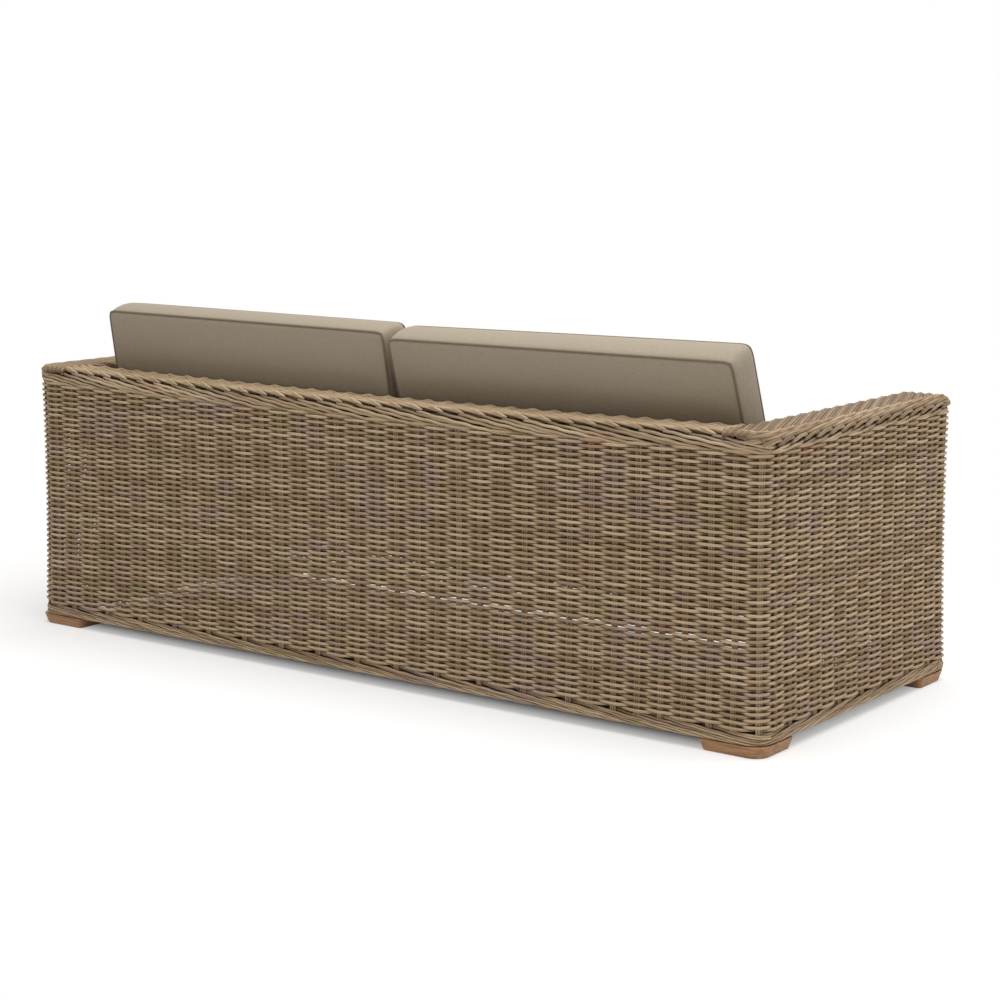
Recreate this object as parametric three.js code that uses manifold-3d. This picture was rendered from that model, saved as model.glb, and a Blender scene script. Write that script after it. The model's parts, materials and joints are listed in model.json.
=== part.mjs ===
// Woven garden sofa: round wicker over a welded tube frame, teak feet and four loose cushions.
// Millimetres, +Z up, the sitter faces -Y, origin on the floor under the middle of the plan.
// Left and right are the sitter's: left is +X.
import * as THREE from 'three';
import { mergeVertices } from 'three/addons/utils/BufferGeometryUtils.js';
import Module from 'manifold-3d';

// Overall sizes
const length = 2090; // along X, over the woven rims
const depth = 842; // along Y, over the woven rims
const armHeight = 648; // floor to the top of the rim
const fitGap = 0.3; // clearance between pieces that touch
const cutOverrun = 5; // how far a cutting body runs past what it cuts

// Woven walls
const weaveThickness = 12;
const rimWidth = 110; // top of an arm or of the back, roll included
const rimOverhang = 10; // the roll stands out this far from the weave
const rearCornerRadius = 45;
const frontCornerRadius = 22;
const cornerLead = 6; // straight run of the rear pieces past their corners
const waist = 5; // the weave draws in this much at mid height
const apronRecess = 25; // seat front behind the arm fronts
const backStakePitch = 56.5;
const sideStakePitch = 51.5;
const weaverPitch = 6.5; // height of one row of strands
const weaveRelief = 6; // a strand sinks this much behind a stake
const stakesPerFloat = 2; // the relief draws one float for so many real stakes and rows
const rowsPerFloat = 4;
const cornerSteps = 2;
const rimSteps = 10; // straight runs that draw the dip of the back rim

// Rims and borders
const rollDiameter = 26;
const rollLay = 168; // one full turn of the rolled strands
const rollLobes = 3;
const rollGrooveShare = 0.22;
const bandThickness = 22;
const bandEdgeRadius = 10;
const railSag = 9; // the back rim dips this much at mid length
const borderHeight = 22;
const borderWidth = 18;
const borderFlare = 6; // the bottom border stands out this far from the weave
const borderLay = 224;
const rollStepsPerTurn = 8;
const borderStepsPerTurn = 6;
const edgeSteps = 3;

// Tube frame
const tubeDiameter = 25;
const tubeWall = 1.5;
const tubeSides = 8;
const bendSteps = 3;
const seatBarCount = 5;
const stileInset = 40; // outer back stiles in from the arm faces

// Seat and back rest
const deckHeight = 300; // floor to the top of the woven seat deck
const deckThickness = 10;
const leanDegrees = 21.5;

// Feet
const footHeight = 24;
const footLength = 150;
const footWidth = 130;
const footInset = 3; // behind the face of the bottom border
const footTaper = 7; // each side draws in this much towards the floor
const footCornerRadius = 12;
const footOuterRadius = 38;

// Cushions
const cushionSpare = 55; // left free between the left-hand cushions and their arm
const seatCushionThickness = 150;
const seatCushionCrown = 12;
const seatCushionSetback = 5; // front face behind the arm fronts
const backCushionThickness = 85;
const backCushionTop = 768; // rear top edge of a back cushion above the floor
const backCushionCrown = 20;
const backCushionTopCrown = 10;
const cushionSideGap = 2; // between the right-hand cushions and their arm
const seatCushionGap = 3; // between the two seat cushions
const backCushionGap = 16; // between the two back cushions
const cushionPullIn = 5; // each side draws in this much between its corners
const cushionRest = 0.5; // clearance of a cushion to what carries it
const seatCushionDivisions = [12, 10, 4];
const crownedRowsShare = 0.8; // of the rows of a seat cushion, in front of its back cushion
const backCushionDivisions = [14, 4, 8];

// Places worked out from the sizes above
const halfLength = length / 2;
const halfDepth = depth / 2;
const weaveX = halfLength - rimOverhang; // outer face of the side weave
const weaveY = halfDepth - rimOverhang; // outer face of the rear weave
const rearCornerEnd = weaveY - rearCornerRadius - cornerLead; // the rear pieces end here
const armRearEnd = rearCornerEnd - fitGap;
const innerX = halfLength - rimWidth; // arm face towards the seat
const rimInnerY = halfDepth - rimWidth; // edge of the back rim towards the seat
const rollRadius = rollDiameter / 2;
const rollInside = rollRadius - rimOverhang; // roll centre inside the weave face
const bandInside = rollInside + rollRadius + fitGap; // band edge inside the weave face
const bandUnderside = armHeight - bandThickness;
const skinTop = armHeight - rollDiameter - fitGap; // weave top under the roll
const tubeRadius = tubeDiameter / 2;
const topRailZ = bandUnderside - fitGap - tubeRadius;
const borderInside = borderWidth / 2 - borderFlare;
const borderZ = footHeight + fitGap + borderHeight / 2;
const skinBottom = borderZ + borderHeight / 2 + fitGap;
const baseRailZ = footHeight + fitGap + tubeRadius;
const tubeInside = weaveThickness + waist + fitGap + tubeRadius; // tube centre inside the weave
const outerTubeX = weaveX - tubeInside;
const innerTubeX = innerX + tubeInside;
const rearTubeY = weaveY - tubeInside;
const bendRadius = (outerTubeX - innerTubeX) / 2;
const armBendY = -(weaveY - tubeInside - bendRadius);
const apronFront = -(weaveY - apronRecess);
const apronBack = apronFront + weaveThickness;
const seatRailFrontY = apronBack + fitGap + tubeRadius;
const deckUnderside = deckHeight - deckThickness;
const seatRailZ = deckUnderside - fitGap - tubeRadius;
const seatTop = deckHeight + cushionRest + seatCushionThickness;
const cushionedWidth = 2 * innerX - cushionSideGap - cushionSpare;
const seatCushionWidth = (cushionedWidth - seatCushionGap) / 2;
const backCushionWidth = (cushionedWidth - backCushionGap) / 2;

// The rear face of a leaning back cushion just clears the rounded edge of the rim, and the woven
// back rest below it lies in the same slope, down to a crank at the top of the seat cushions
const lean = THREE.MathUtils.degToRad(leanDegrees);
const edgeCentreY = rimInnerY + bandEdgeRadius;
const edgeCentreZ = armHeight - bandEdgeRadius;
const restY = (z) => (
  edgeCentreY - (bandEdgeRadius + cushionRest) / Math.cos(lean) + (z - edgeCentreZ) * Math.tan(lean));
const panelY = (z) => restY(z) + cushionRest / Math.cos(lean);
const panelWidth = weaveThickness / Math.cos(lean);
const panelTop = bandUnderside - fitGap;
const crankZ = seatTop;
const crankY = panelY(crankZ);
const innerRailY = panelY(topRailZ) + panelWidth + (tubeRadius + fitGap) / Math.cos(lean);
const stileY = crankY + weaveThickness + fitGap + tubeRadius;

const wasm = await Module();
wasm.setup();

const sofa = new THREE.Group();
const arms = [['left', 1], ['right', -1]];
const upwards = new THREE.Vector3(0, 0, 1);
const sideways = new THREE.Vector3(1, 0, 0);
const forwards = new THREE.Vector3(0, -1, 0);

// Materials
const wicker = { color: 0x9a8a70, roughness: 0.8, metalness: 0, flatShading: true };
const wickerRim = { color: 0xa39478, roughness: 0.78, metalness: 0 };
const coatedTube = { color: 0x5a5045, roughness: 0.5, metalness: 0.6 };
const teak = { color: 0x9a7047, roughness: 0.6, metalness: 0 };
const canvas = { color: 0x8d7f6c, roughness: 0.95, metalness: 0 };

function add(name, geometry, finish) {
  const mesh = new THREE.Mesh(geometry, new THREE.MeshStandardMaterial(finish));
  mesh.name = name;
  sofa.add(mesh);
}

// Keeps only the shared positions of a geometry, so that it is one closed surface
function welded(geometry) {
  const bare = geometry.clone();
  bare.deleteAttribute('normal');
  bare.deleteAttribute('uv');
  return mergeVertices(bare);
}

function closedSurface(positions, triangles) {
  const geometry = new THREE.BufferGeometry();
  geometry.setAttribute('position', new THREE.Float32BufferAttribute(positions, 3));
  geometry.setIndex(triangles);
  geometry.computeVertexNormals();
  return geometry;
}

function solid(geometry) {
  const bare = welded(geometry);
  return new wasm.Manifold(new wasm.Mesh({
    numProp: 3,
    vertProperties: new Float32Array(bare.attributes.position.array),
    triVerts: new Uint32Array(bare.index.array),
  }));
}

function fromSolid(manifold) {
  const mesh = manifold.getMesh();
  return closedSurface(Array.from(mesh.vertProperties), Array.from(mesh.triVerts));
}

// A box between two corners, given in any order
function block(corner, opposite) {
  const size = opposite.map((value, axis) => Math.abs(value - corner[axis]));
  const middle = opposite.map((value, axis) => (value + corner[axis]) / 2);
  return new THREE.BoxGeometry(...size).translate(...middle);
}

// Stations along a plan path: points with the outward normal, on the right hand of the path
function stations(points) {
  let run = 0;
  return points.map((p, i) => {
    const before = points[Math.max(i - 1, 0)];
    const after = points[Math.min(i + 1, points.length - 1)];
    const along = new THREE.Vector2().subVectors(after, before).normalize();
    run += p.distanceTo(before);
    return { x: p.x, y: p.y, nx: along.y, ny: -along.x, run };
  });
}

// The points of a path where it turns, without doubles
function turnsOf(path) {
  const points = path.getPoints(cornerSteps);
  return points.filter((p, i) => i === 0 || p.distanceTo(points[i - 1]) > fitGap);
}

// The points of a path with its long runs divided evenly
function evenPointsOf(path, spacing) {
  const turns = turnsOf(path);
  const divided = turns.slice(1).flatMap((p, i) => {
    const parts = Math.ceil(p.distanceTo(turns[i]) / spacing);
    return Array.from({ length: parts }, (_, k) => turns[i].clone().lerp(p, (k + 1) / parts));
  });
  return [turns[0], ...divided];
}

// The rear line in plan round both corners, from the left side to the right, a distance inside
// the face of the weave, with its straight part in a number of runs
function rearPath(inside, runs) {
  const radius = rearCornerRadius - inside;
  const centreX = weaveX - rearCornerRadius;
  const centreY = weaveY - rearCornerRadius;
  const path = new THREE.Path();
  path.moveTo(weaveX - inside, rearCornerEnd);
  path.lineTo(weaveX - inside, centreY);
  path.absarc(centreX, centreY, radius, 0, Math.PI / 2);
  for (let i = 1; i < runs; i += 1) {
    path.lineTo(THREE.MathUtils.lerp(centreX, -centreX, i / runs), weaveY - inside);
  }
  path.absarc(-centreX, centreY, radius, Math.PI / 2, Math.PI);
  path.lineTo(-(weaveX - inside), rearCornerEnd);
  return path;
}

// The outer line of the right arm in plan, from the rear corner round the front corner to the
// arm's inner face
function armEdgePath(inside) {
  const radius = frontCornerRadius - inside;
  const centreX = -(weaveX - frontCornerRadius);
  const centreY = -(weaveY - frontCornerRadius);
  const path = new THREE.Path();
  path.moveTo(-(weaveX - inside), armRearEnd);
  path.lineTo(-(weaveX - inside), centreY);
  path.absarc(centreX, centreY, radius, Math.PI, Math.PI * 1.5);
  path.lineTo(-innerX, -(weaveY - inside));
  return path;
}

// The whole face line of the right arm in plan: outer side, front end and the side to the seat
function armFacePath() {
  const centreY = -(weaveY - frontCornerRadius);
  const path = new THREE.Path();
  path.moveTo(-weaveX, armRearEnd);
  path.lineTo(-weaveX, centreY);
  path.absarc(-(weaveX - frontCornerRadius), centreY, frontCornerRadius, Math.PI, Math.PI * 1.5);
  path.absarc(-(innerX + frontCornerRadius), centreY, frontCornerRadius, Math.PI * 1.5, Math.PI * 2);
  path.lineTo(-innerX, rimInnerY);
  return path;
}

// Points of a right-arm path for either arm; the mirrored ones run the other way, so that the
// outside stays on the right hand
function forArm(points, side) {
  if (side < 0) return points;
  return points.map((p) => new THREE.Vector2(-p.x, p.y)).reverse();
}

// How far the weave draws in at a height between its foot and its rim
function drawnIn(z) {
  const share = (2 * (z - skinBottom)) / (skinTop - skinBottom) - 1;
  return waist * Math.max(0, 1 - share * share);
}

// How far the back rim dips at a place along the back
function dip(x) {
  return railSag * Math.max(0, 1 - (x / innerX) ** 2);
}

// Whether a quad in outward order stands out more when folded along its first corner's diagonal
function foldsFromFirst(a, b, c, d) {
  const [toB, toC, toD] = [b, c, d].map((p) => new THREE.Vector3(...p).sub(new THREE.Vector3(...a)));
  return toB.cross(toC).dot(toD) < 0;
}

// Rings of equal size, each anticlockwise as seen from the next one, joined into a closed bar whose
// ridges stay sharp
function loft(rings, caps, endCaps = caps) {
  const sides = rings[0].length;
  const points = rings.flat();
  const triangles = [];
  for (let r = 0; r < rings.length - 1; r += 1) {
    for (let k = 0; k < sides; k += 1) {
      const a = r * sides + k;
      const b = r * sides + ((k + 1) % sides);
      const [c, d] = [b + sides, a + sides];
      if (foldsFromFirst(points[a], points[b], points[c], points[d])) {
        triangles.push(a, b, c, a, c, d);
      } else {
        triangles.push(a, b, d, b, c, d);
      }
    }
  }
  const last = (rings.length - 1) * sides;
  for (const [a, b, c] of caps) triangles.push(a, c, b);
  for (const [a, b, c] of endCaps) triangles.push(last + a, last + b, last + c);
  return closedSurface(points.flat(), triangles);
}

function capsOf(outline) {
  return THREE.ShapeUtils.triangulateShape(outline.map(([a, b]) => new THREE.Vector2(a, b)), []);
}

// Stakes passed up to each station, in floats: whole numbers on the straights, one to a corner
function floatCounts(line, pitch) {
  let count = 0;
  return line.map((s, i) => {
    const before = line[Math.max(i - 1, 0)];
    const turned = Math.acos(Math.min(s.nx * before.nx + s.ny * before.ny, 1));
    count += Math.round((s.run - before.run) / pitch) + turned / (Math.PI / 2);
    return count;
  });
}

// A woven wall: two faces a thickness apart along a plan path, drawn in with its height. On the
// outer face each row of strands comes forward at one stake and sinks behind the next
function wovenWall(points, stakePitch, topAt, insideAt) {
  const line = stations(points);
  const counts = floatCounts(line, stakePitch * stakesPerFloat);
  const levels = 2 * Math.round((topAt(line[0]) - skinBottom) / (weaverPitch * rowsPerFloat));
  const sunk = (level, count) => {
    if (level === 0 || level === levels) return 0;
    if (level % 2 === 0) return weaveRelief;
    return weaveRelief * (0.5 - Math.cos(Math.PI * (count + (level - 1) / 2)) / 2);
  };
  const sections = line.map((s, i) => {
    const at = (share, behind) => {
      const z = THREE.MathUtils.lerp(topAt(s), skinBottom, share);
      return [insideAt(z) + behind, z];
    };
    const front = Array.from({ length: levels + 1 }, (_, k) => at(k / levels, sunk(k, counts[i])));
    return [...front, ...[1, 0.5, 0].map((share) => at(share, weaveThickness))];
  });
  const rings = sections.map((section, i) => section.map(([inside, z]) => (
    [line[i].x - line[i].nx * inside, line[i].y - line[i].ny * inside, z])));
  return loft(rings, capsOf(sections[0]), capsOf(sections[sections.length - 1]));
}

// Rolled strands: a lobed section that turns once in each lay along the stations, so that with a
// sense of 1 the strands on the outside sink along the line, and with -1 they rise
function strandRoll(line, across, high, lay, sense, heightAt) {
  const sides = rollLobes * 2;
  const corners = Array.from({ length: sides }, (_, k) => (k / sides) * Math.PI * 2);
  const rings = line.map((s) => corners.map((corner, k) => {
    const angle = corner + sense * (s.run / lay) * Math.PI * 2;
    const reach = k % 2 ? 1 - rollGrooveShare : 1;
    const out = (Math.cos(angle) * reach * across) / 2;
    const down = (Math.sin(angle) * reach * high) / 2;
    return [s.x + s.nx * out, s.y + s.ny * out, heightAt(s) - down];
  }));
  return loft(rings, capsOf(corners.map((corner) => [Math.cos(corner), Math.sin(corner)])));
}

// A tube bent in one plane through 3D points, with its bore open at both ends
function tube(name, points, planeNormal) {
  const walls = [tubeRadius, tubeRadius - tubeWall];
  const corners = Array.from({ length: tubeSides }, (_, k) => (k / tubeSides) * Math.PI * 2);
  const positions = points.flatMap((p, i) => {
    const before = points[Math.max(i - 1, 0)];
    const after = points[Math.min(i + 1, points.length - 1)];
    const along = new THREE.Vector3().subVectors(after, before).normalize();
    const outward = new THREE.Vector3().crossVectors(planeNormal, along);
    return walls.flatMap((radius) => corners.flatMap((angle) => p.clone()
      .addScaledVector(outward, Math.cos(angle) * radius)
      .addScaledVector(planeNormal, Math.sin(angle) * radius)
      .toArray()));
  });
  const at = (i, wall, k) => (i * 2 + wall) * tubeSides + (k % tubeSides);
  const triangles = [];
  const quad = (a, b, c, d) => triangles.push(a, b, c, a, c, d);
  const end = points.length - 1;
  for (let k = 0; k < tubeSides; k += 1) {
    for (let i = 0; i < end; i += 1) {
      quad(at(i, 0, k), at(i, 0, k + 1), at(i + 1, 0, k + 1), at(i + 1, 0, k));
      quad(at(i, 1, k + 1), at(i, 1, k), at(i + 1, 1, k), at(i + 1, 1, k + 1));
    }
    quad(at(0, 0, k + 1), at(0, 0, k), at(0, 1, k), at(0, 1, k + 1));
    quad(at(end, 0, k), at(end, 0, k + 1), at(end, 1, k + 1), at(end, 1, k));
  }
  add(name, closedSurface(positions, triangles), coatedTube);
}

function spot(x, y, z) {
  return new THREE.Vector3(x, y, z);
}

// Bent and straight tubes of the welded frame
function buildFrame() {
  const betweenArms = innerTubeX - tubeRadius - fitGap;
  const crossTube = (name, y, z) => (
    tube(name, [spot(-betweenArms, y, z), spot(betweenArms, y, z)], upwards));
  for (const [name, z] of [['base_rail', baseRailZ], ['top_rail', topRailZ]]) {
    const level = (points) => points.map((p) => spot(p.x, p.y, z));
    tube(`${name}_rear`, level(turnsOf(rearPath(tubeInside, 1))), upwards);
    const bend = new THREE.Path();
    bend.moveTo(-outerTubeX, armRearEnd);
    bend.lineTo(-outerTubeX, armBendY);
    bend.absarc(-(outerTubeX + innerTubeX) / 2, armBendY, bendRadius, Math.PI, Math.PI * 2);
    bend.lineTo(-innerTubeX, rearTubeY - tubeRadius - fitGap);
    for (const [arm, side] of arms) {
      tube(`${name}_${arm}`, level(forArm(turnsOf(bend), side)), upwards);
    }
  }
  crossTube('base_rail_front', seatRailFrontY, baseRailZ);
  crossTube('seat_rail_front', seatRailFrontY, seatRailZ);
  crossTube('seat_rail_rear', stileY, seatRailZ);
  crossTube('back_rail_inner', innerRailY, topRailZ);
}

function buildPosts() {
  const low = baseRailZ + tubeRadius + fitGap;
  const high = topRailZ - tubeRadius - fitGap;
  const post = (name, x, y) => tube(name, [spot(x, y, low), spot(x, y, high)], forwards);
  const corner = (rearCornerRadius - tubeInside) * Math.SQRT1_2;
  const cornerX = weaveX - rearCornerRadius + corner;
  const cornerY = weaveY - rearCornerRadius + corner;
  post('post_rear_middle', 0, rearTubeY);
  for (const [arm, side] of arms) {
    post(`post_rear_${arm}`, side * cornerX, cornerY);
    post(`post_front_outer_${arm}`, side * outerTubeX, seatRailFrontY);
    post(`post_front_inner_${arm}`, side * innerTubeX, seatRailFrontY);
    post(`post_rear_inner_${arm}`, side * innerTubeX, stileY);
  }
}

// Seat bars under the deck, and the cranked stiles that carry the woven back rest
function buildSeatFrame() {
  const reach = innerX - stileInset;
  const frontEnd = seatRailFrontY + tubeRadius + fitGap;
  const rearEnd = stileY - tubeRadius - fitGap;
  for (let i = 0; i < seatBarCount; i += 1) {
    const x = THREE.MathUtils.lerp(-reach, reach, i / (seatBarCount - 1));
    tube(`seat_bar_${i + 1}`, [spot(x, frontEnd, seatRailZ), spot(x, rearEnd, seatRailZ)], upwards);
  }
  const slopeY = (z) => panelY(z) + panelWidth + (tubeRadius + fitGap) / Math.cos(lean);
  const lowEnd = seatRailZ + tubeRadius + fitGap;
  const topEnd = topRailZ - (tubeRadius + fitGap) * Math.cos(lean);
  const bend = new THREE.QuadraticBezierCurve3(
    spot(0, stileY, crankZ - tubeDiameter),
    spot(0, stileY, crankZ),
    spot(0, slopeY(crankZ + tubeDiameter), crankZ + tubeDiameter));
  const line = [
    spot(0, stileY, lowEnd), ...bend.getPoints(bendSteps), spot(0, slopeY(topEnd), topEnd)];
  for (const [name, x] of [['left', reach], ['middle', 0], ['right', -reach]]) {
    tube(`back_stile_${name}`, line.map((p) => spot(x, p.y, p.z)), sideways);
  }
}

// Woven walls of the body, and the woven seat deck and back rest
function buildWeave() {
  const reach = innerX - fitGap;
  const rearLine = evenPointsOf(rearPath(0, 1), backStakePitch * stakesPerFloat);
  const backTop = (s) => skinTop - dip(s.x);
  add('weave_back_outer', wovenWall(rearLine, backStakePitch, backTop, drawnIn), wicker);
  const armLine = evenPointsOf(armFacePath(), sideStakePitch * stakesPerFloat);
  const topAt = (s) => (Math.abs(s.x) < innerX + fitGap ? panelTop : skinTop);
  for (const [arm, side] of arms) {
    const whole = solid(wovenWall(forArm(armLine, side), sideStakePitch, topAt, drawnIn));
    const underSeat = solid(block(
      [side * (innerX - cutOverrun), apronBack, skinBottom - cutOverrun],
      [side * (innerX + weaveThickness + waist + cutOverrun), weaveY, deckUnderside]));
    add(`weave_arm_${arm}`, fromSolid(whole.subtract(underSeat)), wicker);
  }
  const front = new THREE.LineCurve(
    new THREE.Vector2(-reach, apronFront), new THREE.Vector2(reach, apronFront));
  const frontLine = evenPointsOf(front, backStakePitch * stakesPerFloat);
  const frontTop = () => deckUnderside - fitGap;
  add('weave_seat_front', wovenWall(frontLine, backStakePitch, frontTop, () => 0), wicker);
  add('weave_seat_deck', block(
    [-reach, apronFront, deckUnderside], [reach, crankY + weaveThickness, deckHeight]), wicker);
  const outline = [
    [crankY, deckHeight + fitGap],
    [crankY + weaveThickness, deckHeight + fitGap],
    [crankY + weaveThickness, crankZ],
    [panelY(panelTop) + panelWidth, panelTop],
    [panelY(panelTop), panelTop],
    [crankY, crankZ],
  ];
  const rings = [-reach, reach].map((x) => outline.map(([y, z]) => [x, y, z]));
  add('weave_back_rest', loft(rings, capsOf(outline)), wicker);
}

// Flat woven bands over the arms and the back, inside the roll, round along the seat edge
function buildBands() {
  const rearEdge = weaveY - bandInside;
  const turns = Array.from({ length: edgeSteps + 1 }, (_, i) => (i / edgeSteps) * (Math.PI / 2));
  const section = (top) => [
    [rimInnerY, bandUnderside],
    [rearEdge, bandUnderside],
    [rearEdge, top],
    ...turns.map((turn) => [
      rimInnerY + bandEdgeRadius * (1 - Math.sin(turn)),
      top - bandEdgeRadius * (1 - Math.cos(turn))]),
  ];
  const reach = innerX - fitGap;
  const places = Array.from({ length: rimSteps + 1 }, (_, i) => (
    THREE.MathUtils.lerp(-reach, reach, i / rimSteps)));
  const rings = places.map((x) => section(armHeight - dip(x)).map(([y, z]) => [x, y, z]));
  add('rim_band_back', loft(rings, capsOf(section(armHeight))), wickerRim);
  for (const [arm, side] of arms) add(`rim_band_${arm}`, armBand(side, turns), wickerRim);
}

function armBand(side, turns) {
  const outerX = weaveX - bandInside;
  const endY = weaveY - bandInside;
  const roundRear = rearCornerRadius - bandInside;
  const roundFront = frontCornerRadius - bandInside;
  const plan = new THREE.Path();
  plan.moveTo(-(outerX - roundRear), endY);
  plan.absarc(-(outerX - roundRear), endY - roundRear, roundRear, Math.PI / 2, Math.PI);
  plan.absarc(-(outerX - roundFront), roundFront - endY, roundFront, Math.PI, Math.PI * 1.5);
  plan.lineTo(-innerX, -endY);
  plan.lineTo(-innerX, endY);
  const outline = forArm(turnsOf(plan), side);
  const levels = [[bandUnderside, 0], ...turns.map((turn) => [
    armHeight - bandEdgeRadius * (1 - Math.sin(turn)),
    bandEdgeRadius * (1 - Math.cos(turn))])];
  const rings = levels.map(([z, inset]) => outline.map((p) => {
    const onSeatEdge = Math.abs(p.x) < innerX + fitGap;
    return [p.x + (onSeatEdge ? side * inset : 0), p.y, z];
  }));
  return loft(rings, capsOf(rings[0]));
}

// Rolled strands along the top edge, and the rolled border along the foot of the weave
function buildRolls() {
  const rollStep = rollLay / rollStepsPerTurn;
  const borderStep = borderLay / borderStepsPerTurn;
  const topZ = (s) => armHeight - rollRadius - dip(s.x);
  const footZ = () => borderZ;
  const roll = (points, sense) => (
    strandRoll(stations(points), rollDiameter, rollDiameter, rollLay, sense, topZ));
  const border = (points, sense) => (
    strandRoll(stations(points), borderWidth, borderHeight, borderLay, sense, footZ));
  add('rim_roll_back', roll(evenPointsOf(rearPath(rollInside, rimSteps), rollStep), 1), wickerRim);
  add('border_back', border(evenPointsOf(rearPath(borderInside, 1), borderStep), 1), wickerRim);
  for (const [arm, side] of arms) {
    const above = forArm(evenPointsOf(armEdgePath(rollInside), rollStep), side);
    const below = forArm(evenPointsOf(armEdgePath(borderInside), borderStep), side);
    add(`rim_roll_${arm}`, roll(above, side), wickerRim);
    add(`border_${arm}`, border(below, side), wickerRim);
  }
  const reach = innerX - fitGap;
  const front = new THREE.LineCurve(
    new THREE.Vector2(-reach, apronFront + borderInside),
    new THREE.Vector2(reach, apronFront + borderInside));
  add('border_front', border(evenPointsOf(front, borderStep), 1), wickerRim);
}

// Teak feet: low blocks under the corners of the border, drawn in towards the floor
function buildFeet() {
  const outerX = weaveX + borderFlare - footInset;
  const outerY = weaveY + borderFlare - footInset;
  const corner = (x, y, radius, start) => {
    const path = new THREE.Path();
    path.absarc(x, y, radius, start, start + Math.PI / 2);
    return path.getPoints(cornerSteps);
  };
  const innerEnd = outerX - footLength;
  const innerSide = outerY - footWidth;
  const outline = [
    ...corner(outerX - footOuterRadius, outerY - footOuterRadius, footOuterRadius, 0),
    ...corner(innerEnd + footCornerRadius, outerY - footCornerRadius, footCornerRadius, Math.PI / 2),
    ...corner(innerEnd + footCornerRadius, innerSide + footCornerRadius, footCornerRadius, Math.PI),
    ...corner(outerX - footCornerRadius, innerSide + footCornerRadius, footCornerRadius, Math.PI * 1.5),
  ];
  const middleX = outerX - footLength / 2;
  const middleY = outerY - footWidth / 2;
  const levels = [[0, footTaper], [footHeight, 0]];
  for (const [end, sideY] of [['rear', 1], ['front', -1]]) {
    for (const [arm, sideX] of arms) {
      const turned = sideX * sideY > 0 ? outline : [...outline].reverse();
      const rings = levels.map(([z, inset]) => turned.map((p) => [
        sideX * (middleX + (p.x - middleX) * (1 - (2 * inset) / footLength)),
        sideY * (middleY + (p.y - middleY) * (1 - (2 * inset) / footWidth)),
        z]));
      add(`foot_${end}_${arm}`, loft(rings, capsOf(rings[1])), teak);
    }
  }
}

// A unit block of faces whose every point is moved to its place on a cushion
function padded(name, divisions, place) {
  const unit = welded(new THREE.BoxGeometry(2, 2, 2, ...divisions));
  const points = unit.attributes.position;
  for (let i = 0; i < points.count; i += 1) {
    points.setXYZ(i, ...place(points.getX(i), points.getY(i), points.getZ(i)));
  }
  unit.computeVertexNormals();
  add(name, unit, canvas);
}

const arch = (share) => 1 - share * share;

// Seat cushions: crowned in front of the back cushions, flat under them, with the sides drawn in
// between the corners and the boxing full at mid height
function buildSeatCushions() {
  const front = -(weaveY - seatCushionSetback);
  const rear = crankY - cushionRest;
  const underBack = restY(seatTop + cushionRest) - backCushionThickness / Math.cos(lean);
  const firstX = -(innerX - cushionSideGap);
  const secondX = firstX + seatCushionWidth + seatCushionGap;
  for (const [name, low] of [['seat_cushion_right', firstX], ['seat_cushion_left', secondX]]) {
    padded(name, seatCushionDivisions, (u, v, w) => {
      const row = (v + 1) / 2;
      const forward = Math.min(row / crownedRowsShare, 1);
      const behind = Math.max(row - crownedRowsShare, 0) / (1 - crownedRowsShare);
      const y = THREE.MathUtils.lerp(
        THREE.MathUtils.lerp(front, underBack, forward), rear, behind);
      const crown = seatCushionCrown * arch(u) * arch(2 * forward - 1) * ((w + 1) / 2);
      const drawn = cushionPullIn * Math.abs(w);
      const x = low + seatCushionWidth / 2 + u * (seatCushionWidth / 2 - drawn * arch(v));
      const z = deckHeight + cushionRest + (seatCushionThickness * (w + 1)) / 2;
      return [x, y - v * drawn * arch(u), z + crown];
    });
  }
}

// Back cushions: rear face flat and leaning on the rim, foot flat on the seat cushion, front and
// top crowned, ends drawn in between the corners
function buildBackCushions() {
  const foot = seatTop + cushionRest;
  const firstX = -(innerX - cushionSideGap);
  const secondX = firstX + backCushionWidth + backCushionGap;
  for (const [name, low] of [['back_cushion_right', firstX], ['back_cushion_left', secondX]]) {
    padded(name, backCushionDivisions, (u, v, w) => {
      const through = (1 - v) / 2;
      const up = (w + 1) / 2;
      const inward = through * backCushionThickness;
      const footY = restY(foot) - inward / Math.cos(lean);
      const topY = restY(backCushionTop) - inward * Math.cos(lean);
      const topZ = backCushionTop + inward * Math.sin(lean);
      const crown = backCushionCrown * arch(u) * arch(w) * through;
      const rise = backCushionTopCrown * arch(u) * arch(v) * up;
      const drawn = cushionPullIn * Math.abs(v) * arch(w);
      return [
        low + backCushionWidth / 2 + u * (backCushionWidth / 2 - drawn),
        THREE.MathUtils.lerp(footY, topY, up) - crown * Math.cos(lean) + rise * Math.sin(lean),
        THREE.MathUtils.lerp(foot, topZ, up) + crown * Math.sin(lean) + rise * Math.cos(lean),
      ];
    });
  }
}

buildFrame();
buildPosts();
buildSeatFrame();
buildWeave();
buildBands();
buildRolls();
buildFeet();
buildSeatCushions();
buildBackCushions();

export default sofa;
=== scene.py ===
"""Woven garden sofa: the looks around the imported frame.

Every wicker strand is a swept round section, laid over and under its stakes by formula. Metres, +Z up, the
sitter faces -Y, and left and right are the sitter's.
"""

import json
import math

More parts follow.
